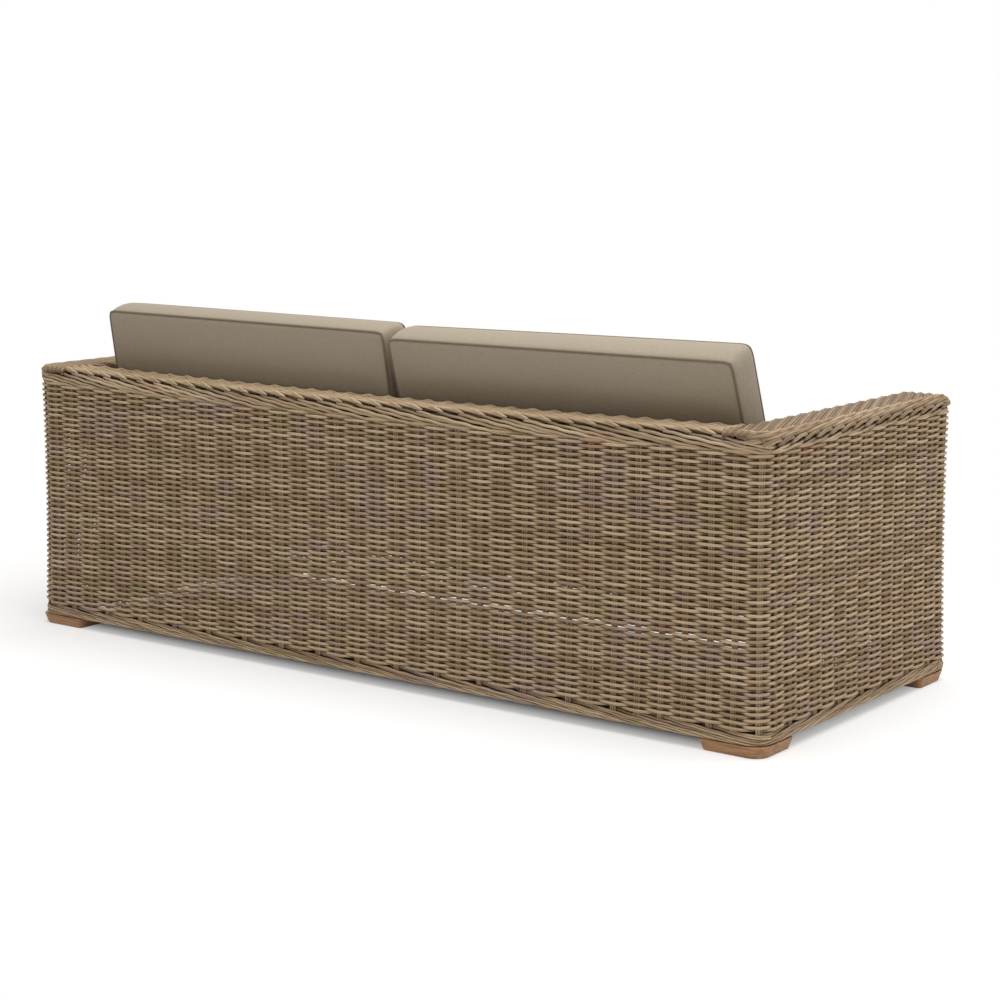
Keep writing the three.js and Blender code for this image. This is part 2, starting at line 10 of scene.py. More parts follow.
import bpy
import numpy as np
from bpy.props import FloatProperty, FloatVectorProperty, IntProperty, PointerProperty
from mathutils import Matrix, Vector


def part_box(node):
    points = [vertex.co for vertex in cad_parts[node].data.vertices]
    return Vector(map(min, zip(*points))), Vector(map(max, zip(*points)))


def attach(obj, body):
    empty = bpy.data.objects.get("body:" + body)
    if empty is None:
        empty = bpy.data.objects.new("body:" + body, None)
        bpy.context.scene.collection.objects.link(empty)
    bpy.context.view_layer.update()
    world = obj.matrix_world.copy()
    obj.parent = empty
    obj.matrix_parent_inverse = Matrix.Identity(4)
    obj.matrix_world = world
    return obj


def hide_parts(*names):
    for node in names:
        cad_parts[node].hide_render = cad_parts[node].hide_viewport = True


bl_info = {
    "name": "Woven Garden Sofa",
    "version": (1, 0, 0),
    "blender": (4, 5, 0),
    "location": "3D View > Sidebar > Sofa",
    "description": "Builds the strands, rims, feet and cushions of a woven garden sofa",
    "category": "Object",
}

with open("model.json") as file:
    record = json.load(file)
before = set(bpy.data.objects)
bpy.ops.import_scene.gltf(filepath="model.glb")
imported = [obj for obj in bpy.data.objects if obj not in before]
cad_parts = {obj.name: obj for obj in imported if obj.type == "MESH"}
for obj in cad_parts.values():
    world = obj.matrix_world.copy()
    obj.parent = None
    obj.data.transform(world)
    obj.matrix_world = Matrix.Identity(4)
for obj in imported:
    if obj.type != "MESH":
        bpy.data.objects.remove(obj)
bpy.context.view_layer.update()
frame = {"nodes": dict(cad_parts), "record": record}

MM = 0.001
ROOT = "root"
SEED = 7
ARMS = (("left", 1), ("right", -1))
LINE_STEP = 1 * MM  # spacing of the table that the plan line is read from
STEPS_OF_PITCH = (0, 0.3, 0.42, 0.5, 0.58, 0.7)  # points of a weaver between stakes, close at its crossing


def box_of(node):
    """Lowest and highest corner of a solid at rest."""
    return [np.array(corner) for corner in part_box(node)]


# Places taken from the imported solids
BACK_LOW, BACK_HIGH = box_of("weave_back_outer")
REST_LOW, REST_HIGH = box_of("weave_back_rest")
DECK_LOW, DECK_HIGH = box_of("weave_seat_deck")
FRONT_LOW, FRONT_HIGH = box_of("weave_seat_front")
FOOT_RIM_LOW, FOOT_RIM_HIGH = box_of("border_back")
ARM_HIGH = box_of("weave_arm_right")[1]
WALL_X = BACK_HIGH[0]  # face of the side weave
WALL_Y = BACK_HIGH[1]  # face of the rear weave
INNER_X = -ARM_HIGH[0]  # face of an arm towards the seat
INNER_Y = box_of("rim_band_back")[0][1]  # seat-side edge of the back rim
SKIN_LOW = BACK_LOW[2]
RIM_TOP = box_of("rim_roll_right")[1][2]
LEVEL = np.array([0, 0, 1.0])  # straight up
LEAN = math.radians(21.5)  # lean of the back rest
RIM_EDGE = 10 * MM  # radius of the back rim's seat-side edge, in the solids
REST_EDGE = INNER_Y + RIM_EDGE - RIM_EDGE / math.cos(LEAN)  # where a cushion meets that edge
# How each back cushion sits, at its -X and then its +X end: mm inside its solid, lean above the rim, and mm
# by which its rear face is taller than the setting
BACK_INSETS = {"left": (1, 28), "right": (6, 6)}
BACK_LEANS = {"left": np.radians([10.5, 9.5]), "right": np.radians([21.5, 16.5])}
BACK_EXTRAS = {"left": (-5, 0), "right": (6, -9)}


def linear(hex_text):
    """One sRGB hex colour as linear red, green, blue and alpha."""
    parts = [int(hex_text[i:i + 2], 16) / 255 for i in (0, 2, 4)]
    return [c / 12.92 if c <= 0.04045 else ((c + 0.055) / 1.055) ** 2.4 for c in parts] + [1.0]


def colour(name, description, hex_text):
    return FloatVectorProperty(
        name=name, description=description, subtype="COLOR", size=4, min=0, max=1, default=linear(hex_text))


def length(name, description, millimetres):
    return FloatProperty(name=name, description=description, unit="LENGTH", default=millimetres * MM)


def angle(name, description, degrees):
    return FloatProperty(name=name, description=description, subtype="ANGLE", default=math.radians(degrees))


def position(name, description, metres):
    return FloatVectorProperty(
        name=name, description=description, subtype="TRANSLATION", unit="LENGTH", size=3, default=metres)


class SofaWeave(bpy.types.PropertyGroup):
    weaver: length("Weaver", "Diameter of a horizontal strand", 6.8)
    stake: length("Stake", "Diameter of a rod of a stake", 4.6)
    rods: IntProperty(name="Rods", description="Rods side by side in a stake", default=3, min=1)
    row: length("Row pitch", "Height of one row of the body weave", 6.5)
    coarse_row: length("Deck row pitch", "Pitch of the rows of the deck and the back rest", 8.0)
    back_pitch: length("Back stake pitch", "Distance between the stakes of the back", 56.5)
    side_pitch: length("Side stake pitch", "Distance between the stakes of the arms", 51.5)
    proud: length("Proud", "How far the strands stand out from the solid walls", 4)
    waist: length("Waist", "How far the walls draw in at mid height", 5)
    rear_corner: length("Rear corner", "Plan radius of the rear corners", 45)
    front_corner: length("Front corner", "Plan radius of the front corners", 22)
    stray: length("Stray", "How far a stake may stand from its place", 2.6)
    pale: colour("Pale strand", "Sun-bleached strands", "bfaa8b")
    mid: colour("Middle strand", "Most strands", "a88f70")
    dark: colour("Dark strand", "Darkest strands", "856d53")
    reddish: colour("Reddish patch", "Reddish brown stretches", "9a755c")
    pinkish: colour("Pinkish patch", "Greyish pink stretches", "a08b80")
    olive: colour("Olive patch", "Olive stretches", "93895c")
    # Painted shade: the colour strands are darkened towards where they lie deep between others or pass
    # behind, standing for the shade there
    hollow: colour("Hollow", "Dirt and shade deep between the strands", "503b26")


class SofaRims(bpy.types.PropertyGroup):
    sag: length("Sag", "How far the back rim dips at mid length", 9)
    nose: length("Nose", "Radius that rounds the arm rims down at their front ends", 45)
    strand: length("Strand", "Diameter of a slanted strand over the top", 5.6)
    long_strand: length("Long strand", "Diameter of the strands that climb along the outer edge", 6.6)
    hole: length("Hole", "Height of the holes below the long strands", 5.5)
    wall_drop: length("Wall drop", "Height of the rims over the top row of the walls", 40)
    hole_drop: length("Hole drop", "Height of the arm rims over their row of holes", 28)
    back_drop: length("Back drop", "Height of the back rim over the feet of its slanted strands", 13)
    band: length("Band", "Height of the band of long strands under the back rim", 37)
    strip: length("Strip", "Height of the band of long strands under the holes of the arms", 14)
    edge: length("Edge", "Radius of the outer edge of the arm rims", 16)
    back_edge: length("Back edge", "Radius of the outer edge of the back rim", 9)
    inner_edge: length("Inner edge", "Radius of the seat-side edge of the rims", 10)
    fall: length("Fall", "How far the slanted strands hang down on the seat side", 14)
    # The core is painted in full shade: a dark rod behind the holes that stands for the shade there
    core: length("Core", "Diameter of the dark filling behind the holes", 16)
    tail: length("Rear roll", "Radius that rounds the arm rims down at their rear ends", 14)
    tucked: length("Tucked length", "Length of the long strands under the border of the back", 60)
    arm_slant: angle("Arm slant", "Angle of the slanted strands to the arms", 22)
    back_slant: angle("Back slant", "Angle of the slanted strands to the back", 22)
    arm_relief: length("Arm relief", "Height of the ridges on top of the arms", 3.2)
    back_relief: length("Back relief", "Height of the ridges on top of the back", 4)
    hump: length("Hump", "Height of the humps along the back, one to a stake", 3.5)
    foot_size: length("Foot border", "Thickness of the rope along the foot of the weave", 13)
    foot_strand: length("Foot strand", "Diameter of the strands of the foot border", 4.6)


class SofaCushions(bpy.types.PropertyGroup):
    thickness: length("Back thickness", "Boxing width of a back cushion", 85)
    slope: length("Back slope", "Length of a back cushion from its lower to its upper seam", 338)
    corner: length("Corner", "Radius of the corners of a back cushion", 16)
    crown: length("Crown", "How far the boxing of a back cushion swells out between its seams", 8)
    piping: length("Piping", "Diameter of the piping", 6)
    cell: length("Cell", "Grid of the cloth before it is divided", 16)
    pressure: FloatProperty(name="Pressure", description="Air pressure of the stuffing", default=4)
    swell: length("Swell", "The most that the stuffing may push a point out", 22)
    seat_room: length("Seat room", "Height that the stuffing of a seat cushion may rise into", 12)
    canvas: colour("Canvas", "Outdoor canvas of the cushions", "968b79")
    thread: colour("Dark thread", "Darker yarns of the canvas", "8e8270")
    cord: colour("Piping colour", "Canvas that covers the piping", "6f614f")


class SofaStage(bpy.types.PropertyGroup):
    lens: FloatProperty(name="Lens", description="Focal length in mm", default=79.51)
    shift: FloatProperty(name="Shift", description="Vertical lens shift of the framing", default=-0.12)
    eye: position("Camera place", "Where the camera stands", (-3.1301, 4.0786, 1.2280))
    yaw: angle("Yaw", "Camera heading from +Y to +X", 143.328)
    pitch: angle("Pitch", "Camera tilt below level", 6.509)
    floor: length("Floor size", "Distance from the middle of the floor to its edges", 40000)
    box_place: position("Soft box place", "Where the overhead soft box hangs", (-1.5, 0.2, 5.0))
    box_size: length("Soft box size", "Side of the overhead soft box", 6000)
    key: FloatProperty(name="Key light", description="Power of the overhead soft box in watts", default=400)
    sky: FloatProperty(name="Surround", description="Strength of the even surround", default=0.45)
    lift: FloatProperty(
        name="Shadow lift", description="Share of plain white in the floor beside the sofa", default=0.45)
    ground: colour("Floor", "Pale floor", "f2f1ef")


# Strands swept into meshes


class Strands:
    """Gathers swept strands and makes one mesh of them."""

    def __init__(self):
        self.parts = []
        self.random = np.random.default_rng(SEED)

    def sweep(self, points, outward, diameter, hollow=0.0, sides=6, tone=(0, 1)):
        """Carries a round section along each row of points (strands, steps, 3).

        At each point the tangent T is the central difference along the strand, S = T x outward, and
        O = S x T. The section is point + radius (cos a O + sin a S) for evenly spaced a. A painted shade
        from 0 to 1 darkens a strand towards the shade colour, for the shade between strands, and its tone is
        drawn between two limits.
        """
        points = np.asarray(points, float)
        strands, steps = points.shape[:2]
        tangent = np.gradient(points, axis=1)
        tangent /= np.linalg.norm(tangent, axis=2, keepdims=True)
        side = np.cross(tangent, np.broadcast_to(outward, points.shape))
        side /= np.linalg.norm(side, axis=2, keepdims=True)
        out = np.cross(side, tangent)
        turn = np.arange(sides) / sides * 2 * np.pi
        radius = np.broadcast_to(np.asarray(diameter) / 2, (strands, steps))[..., None, None]
        ring = np.cos(turn)[:, None] * out[:, :, None] + np.sin(turn)[:, None] * side[:, :, None]
        gap = np.linalg.norm(np.diff(points, axis=1), axis=2)
        run = np.concatenate([np.zeros((strands, 1)), np.cumsum(gap, axis=1)], axis=1)
        run = run + self.random.uniform(0, 50, (strands, 1))
        lay = np.empty((strands, steps, sides, 3))
        lay[..., 0] = run[..., None]
        lay[..., 1] = np.cos(turn) * radius[..., 0]
        lay[..., 2] = np.sin(turn) * radius[..., 0]
        tint = np.broadcast_to(self.random.uniform(*tone, (strands, 1, 1)), (strands, steps, sides))
        # The painted shade goes to the material as the attribute deep
        deep = np.broadcast_to(np.asarray(hollow, float), (strands, steps))[..., None]
        self.parts.append({
            "co": points[:, :, None] + radius * ring,
            "lay": lay,
            "tint": tint,
            "deep": np.broadcast_to(deep, (strands, steps, sides)),
        })

    def make(self, name):
        """Joins the rings of each strand by quads, closes both ends by polygons, and fills one mesh."""
        corners, starts, base, at = [], [], 0, 0
        for part in self.parts:
            strands, steps, sides = part["co"].shape[:3]
            grid = base + np.arange(strands * steps * sides).reshape(strands, steps, sides)
            nxt = np.roll(grid, -1, axis=2)
            quads = np.stack([grid[:, :-1], nxt[:, :-1], nxt[:, 1:], grid[:, 1:]], axis=-1).reshape(-1, 4)
            caps = np.concatenate([grid[:, 0, ::-1], grid[:, -1]]).reshape(-1, sides)
            for faces in (quads, caps):
                starts.append(at + np.arange(len(faces)) * faces.shape[1])
                at += faces.size
                corners.append(faces.ravel())
            base += grid.size
        corners, starts = np.concatenate(corners), np.concatenate(starts)
        mesh = bpy.data.meshes.new(name)
        mesh.vertices.add(base)
        mesh.loops.add(len(corners))
        mesh.polygons.add(len(starts))
        flat = {key: np.concatenate([part[key].reshape(-1) for part in self.parts]).astype(np.float32)
                for key in ("co", "lay", "tint", "deep")}
        mesh.vertices.foreach_set("co", flat["co"])
        mesh.loops.foreach_set("vertex_index", corners.astype(np.int32))
        mesh.polygons.foreach_set("loop_start", starts.astype(np.int32))
        mesh.polygons.foreach_set("use_smooth", np.ones(len(starts), bool))
        mesh.update(calc_edges=True)
        for key, kind, slot in (("lay", "FLOAT_VECTOR", "vector"), ("tint", "FLOAT", "value"),
                                ("deep", "FLOAT", "value")):
            mesh.attributes.new(key, kind, "POINT").data.foreach_set(slot, flat[key])
        return link(name, mesh)


def link(name, mesh):
    piece = bpy.data.objects.new(name, mesh)
    bpy.context.scene.collection.objects.link(piece)
    return piece


def vectors(x, y, z):
    """Points or directions from their three parts, of one shape or of shapes that go together."""
    return np.stack(np.broadcast_arrays(x, y, z), -1)


def dress(piece, material, slot, body, *nodes):
    """Gives a piece its finish, the body it rides on and the solids it stands for; its record slot is not
    used.
    """
    piece.data.materials.clear()
    piece.data.materials.append(material)
    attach(piece, body)
    if nodes:
        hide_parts(*nodes)
    return piece


# The plan line that the walls and rims follow


class PlanLine:
    """The outer face in plan, from the inside of the left arm round the front, side and rear to the
    inside of the right arm, with the outside on its right hand.

    It is a walk of straights and quarter circles: on a straight the heading stays, on an arc it turns
    at 1 / radius, and the place is the running sum of the heading's direction.
    """

    def __init__(self):
        weave = bpy.context.scene.sofa_weave
        rear, front = weave.rear_corner, weave.front_corner
        arm = WALL_Y + INNER_Y - front
        end = WALL_X - INNER_X - 2 * front
        flank = 2 * WALL_Y - front - rear
        quarter = math.pi / 2
        walk = [(arm, 0), (front, quarter), (end, 0), (front, quarter), (flank, 0), (rear, quarter),
                (2 * (WALL_X - rear), 0), (rear, quarter), (flank, 0), (front, quarter), (end, 0),
                (front, quarter), (arm, 0)]
        runs = [size * quarter if turn else size for size, turn in walk]
        self.ends = np.concatenate([[0], np.cumsum(runs)])
        headings = np.concatenate([[0], np.cumsum([turn for _, turn in walk])]) - quarter
        self.s = np.linspace(0, self.ends[-1], int(self.ends[-1] / LINE_STEP))
        self.heading = np.interp(self.s, self.ends, headings)
        middle = (self.heading[1:] + self.heading[:-1]) / 2
        step = np.diff(self.s)
        self.x = INNER_X + np.concatenate([[0], np.cumsum(step * np.cos(middle))])
        self.y = INNER_Y + np.concatenate([[0], np.cumsum(step * np.sin(middle))])
        self.rear_left = (self.ends[5] + self.ends[6]) / 2
        self.rear_right = (self.ends[7] + self.ends[8]) / 2
        self.marks = np.array([0.0, self.rear_left, self.rear_right, self.ends[-1]])
        pitches = np.array([weave.side_pitch, weave.back_pitch, weave.side_pitch])
        self.counts = np.concatenate([[0], np.cumsum(np.round(np.diff(self.marks) / pitches))])

    def stakes_to(self, s):
        """Stakes passed up to a run, as if each stood in its even place."""
        return np.interp(s, self.marks, self.counts)

    def at(self, s, inside=0.0):
        """Place and outward direction at a run s, moved in by a distance."""
        heading = np.interp(s, self.s, self.heading)
        nx, ny = np.sin(heading), -np.cos(heading)
        x = np.interp(s, self.s, self.x) - nx * inside
        y = np.interp(s, self.s, self.y) - ny * inside
        return x, y, nx, ny

    def run_at_y(self, y, after, before):
        """The run at which the line passes a y, between two runs."""
        inside = (self.s >= after) & (self.s <= before)
        return self.s[inside][np.argmin(np.abs(self.y[inside] - y))]


def dip(x):
    """The back rim's sag at an x: sag (1 - (x / inner)^2) between the arms."""
    return bpy.context.scene.sofa_rims.sag * np.clip(1 - (x / INNER_X) ** 2, 0, None)


def rim_line(x, y):
    """Height of the rim before its front ends are rounded: level on the arms, dipped along the back."""
    return RIM_TOP - np.where(y > INNER_Y, dip(x), 0)


def nose(y):
    """How far an arm's rim drops near its front end: radius - sqrt(radius^2 - over^2)."""
    radius = bpy.context.scene.sofa_rims.nose
    over = 0.9 * np.clip(radius - WALL_Y - y, 0, radius)
    return radius - np.sqrt(radius ** 2 - over ** 2)


def stake_runs(line, weave):
    """Runs of the stakes along the plan line, each a little off its even place."""
    index = np.arange(int(line.counts[-1]) + 1)
    runs = np.interp(index, line.counts, line.marks)
    runs[1:-1] += np.random.default_rng(SEED).uniform(-1, 1, len(runs) - 2) * weave.stray
    return runs


def row_shares(count, random):
    """Even row middles between 0 and 1, each off by up to 0.06 of a row."""
    return (np.arange(count) + 0.5 + random.uniform(-0.06, 0.06, count)) / count


def swing_of(weave):
    """Weavers bow out and in by less than half a weaver and half a stake, as both give way."""
    return 0.38 * (weave.weaver + weave.stake)


def bow(phase):
    """In-and-out share of a weaver, flat over a stake and quick between two.

    It is tanh(1.5 cos(pi phase)) / tanh(1.5).
    """
    return np.tanh(1.5 * np.cos(np.pi * phase)) / math.tanh(1.5)


def stake_counts(first, last):
    """Stake counts of a weaver's points between two counts."""
    whole = np.arange(math.floor(first), math.ceil(last) + 1)
    inner = (whole[:, None] + np.array(STEPS_OF_PITCH)).ravel()
    inner = inner[(inner > first + 0.02) & (inner < last - 0.02)]
    return np.concatenate([[first], inner, [last]])[None]


def hollow_of(lift, swing):
    """Painted shade of a weaver: 0 on the outermost stretches, 1 where it passes behind, for the shade there.
    """
    return np.clip((0.2 - lift / swing) / 1.2, 0, 1)


def wall_place(line, weave, s, z, lift):
    """Points of a wall and their outward directions, lift off the middle of the weave.

    The plan line is drawn in at mid height by waist (1 - h^2), h running from -1 to 1 over the height, and
    everywhere so that the outermost strands stand out by the setting proud.
    """
    half = (RIM_TOP - SKIN_LOW) / 2
    h = (z - SKIN_LOW) / half - 1
    drawn = weave.waist * np.clip(1 - h ** 2, 0, None) + swing_of(weave) + weave.weaver / 2 - weave.proud
    x, y, nx, ny = line.at(s)
    return vectors(x + nx * (lift - drawn), y + ny * (lift - drawn), z), vectors(nx, ny, 0)


def wall_weave(strands, line, weave, stakes, first, last, rows, low, high, part=slice(None)):
    """Rows along the plan line from run first to last, between heights low and high(s).

    With q the stake count along the line, row r stands off the wall by swing bow(q + r), so that it is
    outside one stake and inside the next, against its neighbours. Only a part of the rows may be laid.
    """
    q = stake_counts(*np.interp([first, last], stakes, np.arange(len(stakes))))
    s = np.interp(q, np.arange(len(stakes)), stakes)
    random = np.random.default_rng(SEED + rows)
    share = row_shares(rows, random)[:, None]
    sway = random.normal(0, 0.25 * MM, (rows, q.size))
    swing = swing_of(weave) * random.uniform(0.88, 1.04, (rows, 1))
    z = (low + (high(s) - low) * share + sway)[part]
    lift = (swing * bow(q + np.arange(rows)[:, None]))[part]
    spot, normal = wall_place(line, weave, s, z, lift)
    strands.sweep(spot, normal, weave.weaver, hollow_of(lift, swing_of(weave)))


def rods_of(weave, middles):
    """The rods of each stake, side by side about its middle, 1.12 of their diameter apart."""
    across = (np.arange(weave.rods) - (weave.rods - 1) / 2) * 1.12 * weave.stake
    return (np.asarray(middles)[:, None] + across[None]).reshape(-1, 1)


def wall_stakes(strands, line, weave, stakes, first, last, low, high):
    """Upright stakes in the middle of the wall, as straight runs that follow its waist."""
    s = rods_of(weave, stakes[(stakes > first) & (stakes < last)])
    z = low + (high(s) - low) * np.linspace(0, 1, 16)[None]
    spot, normal = wall_place(line, weave, s, z, 0.0)
    # The stakes take 0.4 painted shade, for the shade in the gaps where they show
    strands.sweep(spot, normal, weave.stake, 0.4)


def flat_weave(strands, weave, place, width, rows, pitch, sides):
    """Rows along X over a sheet place(x, share, lift), over and under its stakes like a wall's."""
    stake_count = round(2 * width / pitch)
    q = stake_counts(0, stake_count)
    x = np.interp(q, [0, stake_count], [-width, width])
    random = np.random.default_rng(SEED + rows)
    share = row_shares(rows, random)[:, None]
    lift = swing_of(weave) * bow(q + np.arange(rows)[:, None])
    spot, normal = place(x, share, lift)
    strands.sweep(spot, normal, weave.weaver, hollow_of(lift, swing_of(weave)), sides)
    middles = np.interp(np.arange(1, stake_count), [0, stake_count], [-width, width])
    spot, normal = place(rods_of(weave, middles), np.linspace(0, 1, 12)[None], 0.0)
    # The stakes take 0.4 painted shade, for the shade in the gaps where they show
    strands.sweep(spot, normal, weave.stake, 0.4, sides)


# Rolled rims


def rope(strands, centre, out, turns, width, height, count, thickness):
    """Strands wound evenly round a centre line, over a core painted in full shade, a dark rod that stands for
    the shade inside the rope.

    Strand i stands off the centre by half_width cos a out + half_height sin a up, with
    a = 2 pi (i / count + turns). The half sizes are less a strand's radius, so that the rope keeps its
    outer size.
    """
    turned = 2 * np.pi * (np.arange(count)[:, None] / count + turns[None])
    facing = (((width - thickness) / 2 * np.cos(turned))[..., None] * out[None]
              + ((height - thickness) / 2 * np.sin(turned))[..., None] * LEVEL)
    strands.sweep(centre[None] + facing, facing / np.linalg.norm(facing, axis=2, keepdims=True), thickness)
    # The core takes full painted shade
    strands.sweep(centre[None], out[None], min(width, height) - 1.6 * thickness, 1.0)


def rim_rope(strands, line, span, inside, height_at, size, stakes_per_turn, count, thickness):
    """A rope of a width and height along the plan line, at a height of x and y, that turns once in a
    number of stakes: to the other side where that is negative."""
    step = 12 * MM
    s = np.linspace(*span, max(int((span[1] - span[0]) / step), 4))
    x, y, nx, ny = line.at(s, inside)
    turns = line.stakes_to(s) / stakes_per_turn
    rope(strands, vectors(x, y, height_at(x, y)), vectors(nx, ny, 0), turns, *size, count, thickness)


def within(starts, reach, low, high):
    """Which strands have a stretch between low and high, and the shares of their reach that bound it."""
    first = np.clip((low - starts) / reach, 0, 1)
    last = np.clip((high - starts) / reach, 0, 1)
    kept = (last - first)[:, 0] > 0.05
    return kept, first[kept], last[kept]


def wale(strands, line, weave, span, low, high, across, way, thick, every=1, abreast=1, tone=(0, 1)):
    """Slanted strands on the face of a wall, between heights low and high.

    From every so many stakes some start abreast at the top, and each falls to the bottom over a number
    of stakes. It comes out from under the rim and goes in again: lift = swing (1.6 sin(pi t) - 0.7).
    At the ends of the span it goes in over the last 25 mm.
    """
    going_in = 25 * MM
    ends = line.stakes_to(np.array(span))
    starts = np.arange(math.floor(ends[0]) - across, math.ceil(ends[1]), every)
    starts = np.repeat(starts, abreast)[:, None]
    second = np.tile(np.arange(abreast), len(starts) // abreast)[:, None]
    kept, first, last = within(starts, across, *ends)
    starts, second = starts[kept], second[kept]
    t = first + (last - first) * np.linspace(0, 1, 6 * across)[None]
    s = np.interp(starts + across * t, line.counts, line.marks)
    x, y, _, _ = line.at(s)
    fallen = t if way < 0 else 1 - t
    stray = strands.random.normal(0, 0.15 * thick, (len(starts), 1))
    sunk = strands.random.uniform(0, 0.45 * thick, (len(starts), 1))
    turn = 2 * np.pi * (across * t + strands.random.uniform(0, 1, (len(starts), 1)))
    z = high(x, y) - second * thick - (high(x, y) - low(x, y)) * fallen + stray + 0.12 * thick * np.sin(turn)
    to_end = np.minimum(s - span[0], span[1] - s)
    lift = swing_of(weave) * (1.6 * np.sin(np.pi * t) - 0.7 - 2 * np.clip(1 - to_end / going_in, 0, 1))
    spot, normal = wall_place(line, weave, s, z, lift - sunk)
    # Painted shade: the strand darkens where it goes in at its ends and where it lies sunk, for the shade
    # there
    strands.sweep(spot, normal, thick, 0.4 - 0.4 * np.sin(np.pi * t) + 0.8 * sunk / thick, tone=tone)


def over_rim(u, rise, outer, flat, inner):
    """A strand's way over a rim, by its length u from its foot on the outer face.

    It goes up by rise, a quarter turn of radius outer, across by flat, a quarter turn of radius inner,
    and down. Gives the distance in from the face, the depth under the top and both turned angles.
    """
    first = np.clip((u - rise) / outer, 0, math.pi / 2)
    start = rise + outer * math.pi / 2
    second = np.clip((u - start - flat) / inner, 0, math.pi / 2)
    last = start + flat + inner * math.pi / 2
    inward = outer * (1 - np.cos(first)) + np.clip(u - start, 0, flat) + inner * np.sin(second)
    under = (rise - np.minimum(u, rise) + outer * (1 - np.sin(first)) + inner * (1 - np.cos(second))
             + np.maximum(u - last, 0))
    return inward, under, first, second


def laid_on_rim(place, run, u, shape, lift):
    """Points and outward directions of strands at lengths u of their way over a rim, lift off its face."""
    inward, under, turned, dropped = over_rim(u, *shape)
    out, up = np.cos(turned) - np.sin(dropped), np.sin(turned) * np.cos(dropped)
    return place(run, inward - lift * out, under - lift * up, out, up)


def climbing_border(strands, place, length_along, pitch, across, span, shape, thick, hole, soil=0):
    """Long strands on the outer edge of a rim, one from each stake.

    Each comes up beside its hole over the first 0.45 of a pitch, by the height of the hole, then climbs
    from the first to the last length u of the span over a number of stakes, and goes under again at its
    end. At every stake one strand lies up and the next down, against the stakes beside:
    lift = dip (cos(pi (run / pitch + k)) - 1) / 2 for strand k. Each strand takes painted shade, at least
    the amount given last, and more where it comes out of its hole and where it lies down.
    """
    index = np.arange(-across, math.ceil(length_along / pitch))[:, None]
    kept, first, last = within(index * pitch, across * pitch, 0, length_along)
    index = index[kept]
    t = first + (last - first) * np.linspace(0, 1, 8 * across)[None]
    out_of_hole = np.clip(t * across / 0.45, 0, 1)
    u = span[0] + (hole + thick / 2) * out_of_hole + (span[1] - span[0] - hole - thick / 2) * t
    u = u + strands.random.normal(0, 0.1 * thick, (len(index), 1))
    run = (index + t * across) * pitch
    down = out_of_hole * (1 - np.cos(np.pi * (run / pitch + index))) / 2 * (t * across > 0.9)
    lift = -thick * (0.45 + 0.7 * (1 - out_of_hole) + 0.35 * down + np.clip((t - 0.92) / 0.08, 0, 1))
    spot, normal = laid_on_rim(place, run, u, shape, lift)
    # Painted shade, for the shade in the hole and where the strand lies down
    strands.sweep(spot, normal, thick, np.maximum(soil, 0.5 * (1 - out_of_hole) + 0.6 * down ** 2))


def slanted_border(strands, place, length_along, pitch, slant, shape, fall, begin, gather, relief, thick,
                   soil=0, tone=(0, 1)):
    """Slanted strands over a rim, in groups of four to a stake.

    Strand k starts at the length u = begin and a run of k pitch / 4, and moves on by
    (u - begin) / tan(slant) as it goes over the rim. The feet of a group are drawn together to the share
    gather over 30 mm, which leaves a hole beside each group, and the strands lie at
    relief (cos(2 pi k / 4) - 1) / 2, which gives one ridge to a stake. A foot goes in by 4 mm.
    place(run, inward, under, out, up) gives the points for a distance in and a depth under the top. The
    strands take painted shade: at least the amount given after thick, and more in the grooves between
    ridges.
    """
    rise, outer, flat, inner = shape
    group_size, gathered, sunk_over, sunk = 4, 30 * MM, 10 * MM, 4 * MM
    total = rise + (outer + inner) * math.pi / 2 + flat + fall - begin
    reach = total / math.tan(slant)
    index = np.arange(-math.ceil(reach / pitch) * group_size, math.ceil(length_along / pitch) * group_size)
    starts = index[:, None] * pitch / group_size
    group = (np.floor(index / group_size)[:, None] + 0.5 - 0.5 / group_size) * pitch
    kept, first, last = within(starts, reach, 0, length_along)
    starts, group, index = starts[kept], group[kept], index[kept]
    t = first + (last - first) * np.linspace(0, 1, 26)[None]
    u = begin + t * total
    spread = gather + (1 - gather) * np.clip((u - begin) / gathered, 0, 1)
    run = group + (starts - group) * spread + t * reach
    ridge = (np.cos(2 * np.pi * index / group_size)[:, None] - 1) / 2
    uneven = strands.random.uniform(0.8, 1.2, (len(index), 1))
    lift = relief * ridge * uneven - thick / 2 - sunk * np.clip(1 - (u - begin) / sunk_over, 0, 1)
    spot, normal = laid_on_rim(place, np.clip(run, 0, length_along), u, shape, lift)
    # Painted shade, deeper in the grooves between the ridges
    strands.sweep(spot, normal, thick, np.broadcast_to(soil - 0.4 * ridge, t.shape), tone=tone)


def drawn_in(y, weave):
    """How far an arm's outer face draws in at its rounded corners: radius - sqrt(radius^2 - over^2)."""
    total = 0
    for radius, over in ((weave.rear_corner, y), (weave.front_corner, -y)):
        over = 0.97 * np.clip(radius - WALL_Y + over, 0, radius)
        total = total + radius - np.sqrt(radius ** 2 - over ** 2)
    return total


# Materials


def empty_nodes(block):
    """Clears the nodes of a material or a world, and returns the function that adds one to it.

    add(kind, inputs, output, **settings) sets the new node's properties, gives each input a value or another
    node's output, and returns the node, or its output where one is asked for.
    """
    block.use_nodes = True
    tree = block.node_tree
    tree.nodes.clear()

    def add(kind, inputs=None, output=None, **settings):
        node = tree.nodes.new("ShaderNode" + kind)
        for key, value in settings.items():
            setattr(node, key, value)
        for key, value in (inputs or {}).items():
            if isinstance(value, bpy.types.NodeSocket):
                tree.links.new(value, node.inputs[key])
            else:
                node.inputs[key].default_value = value
        return node if output is None else node.outputs[output]
    return add


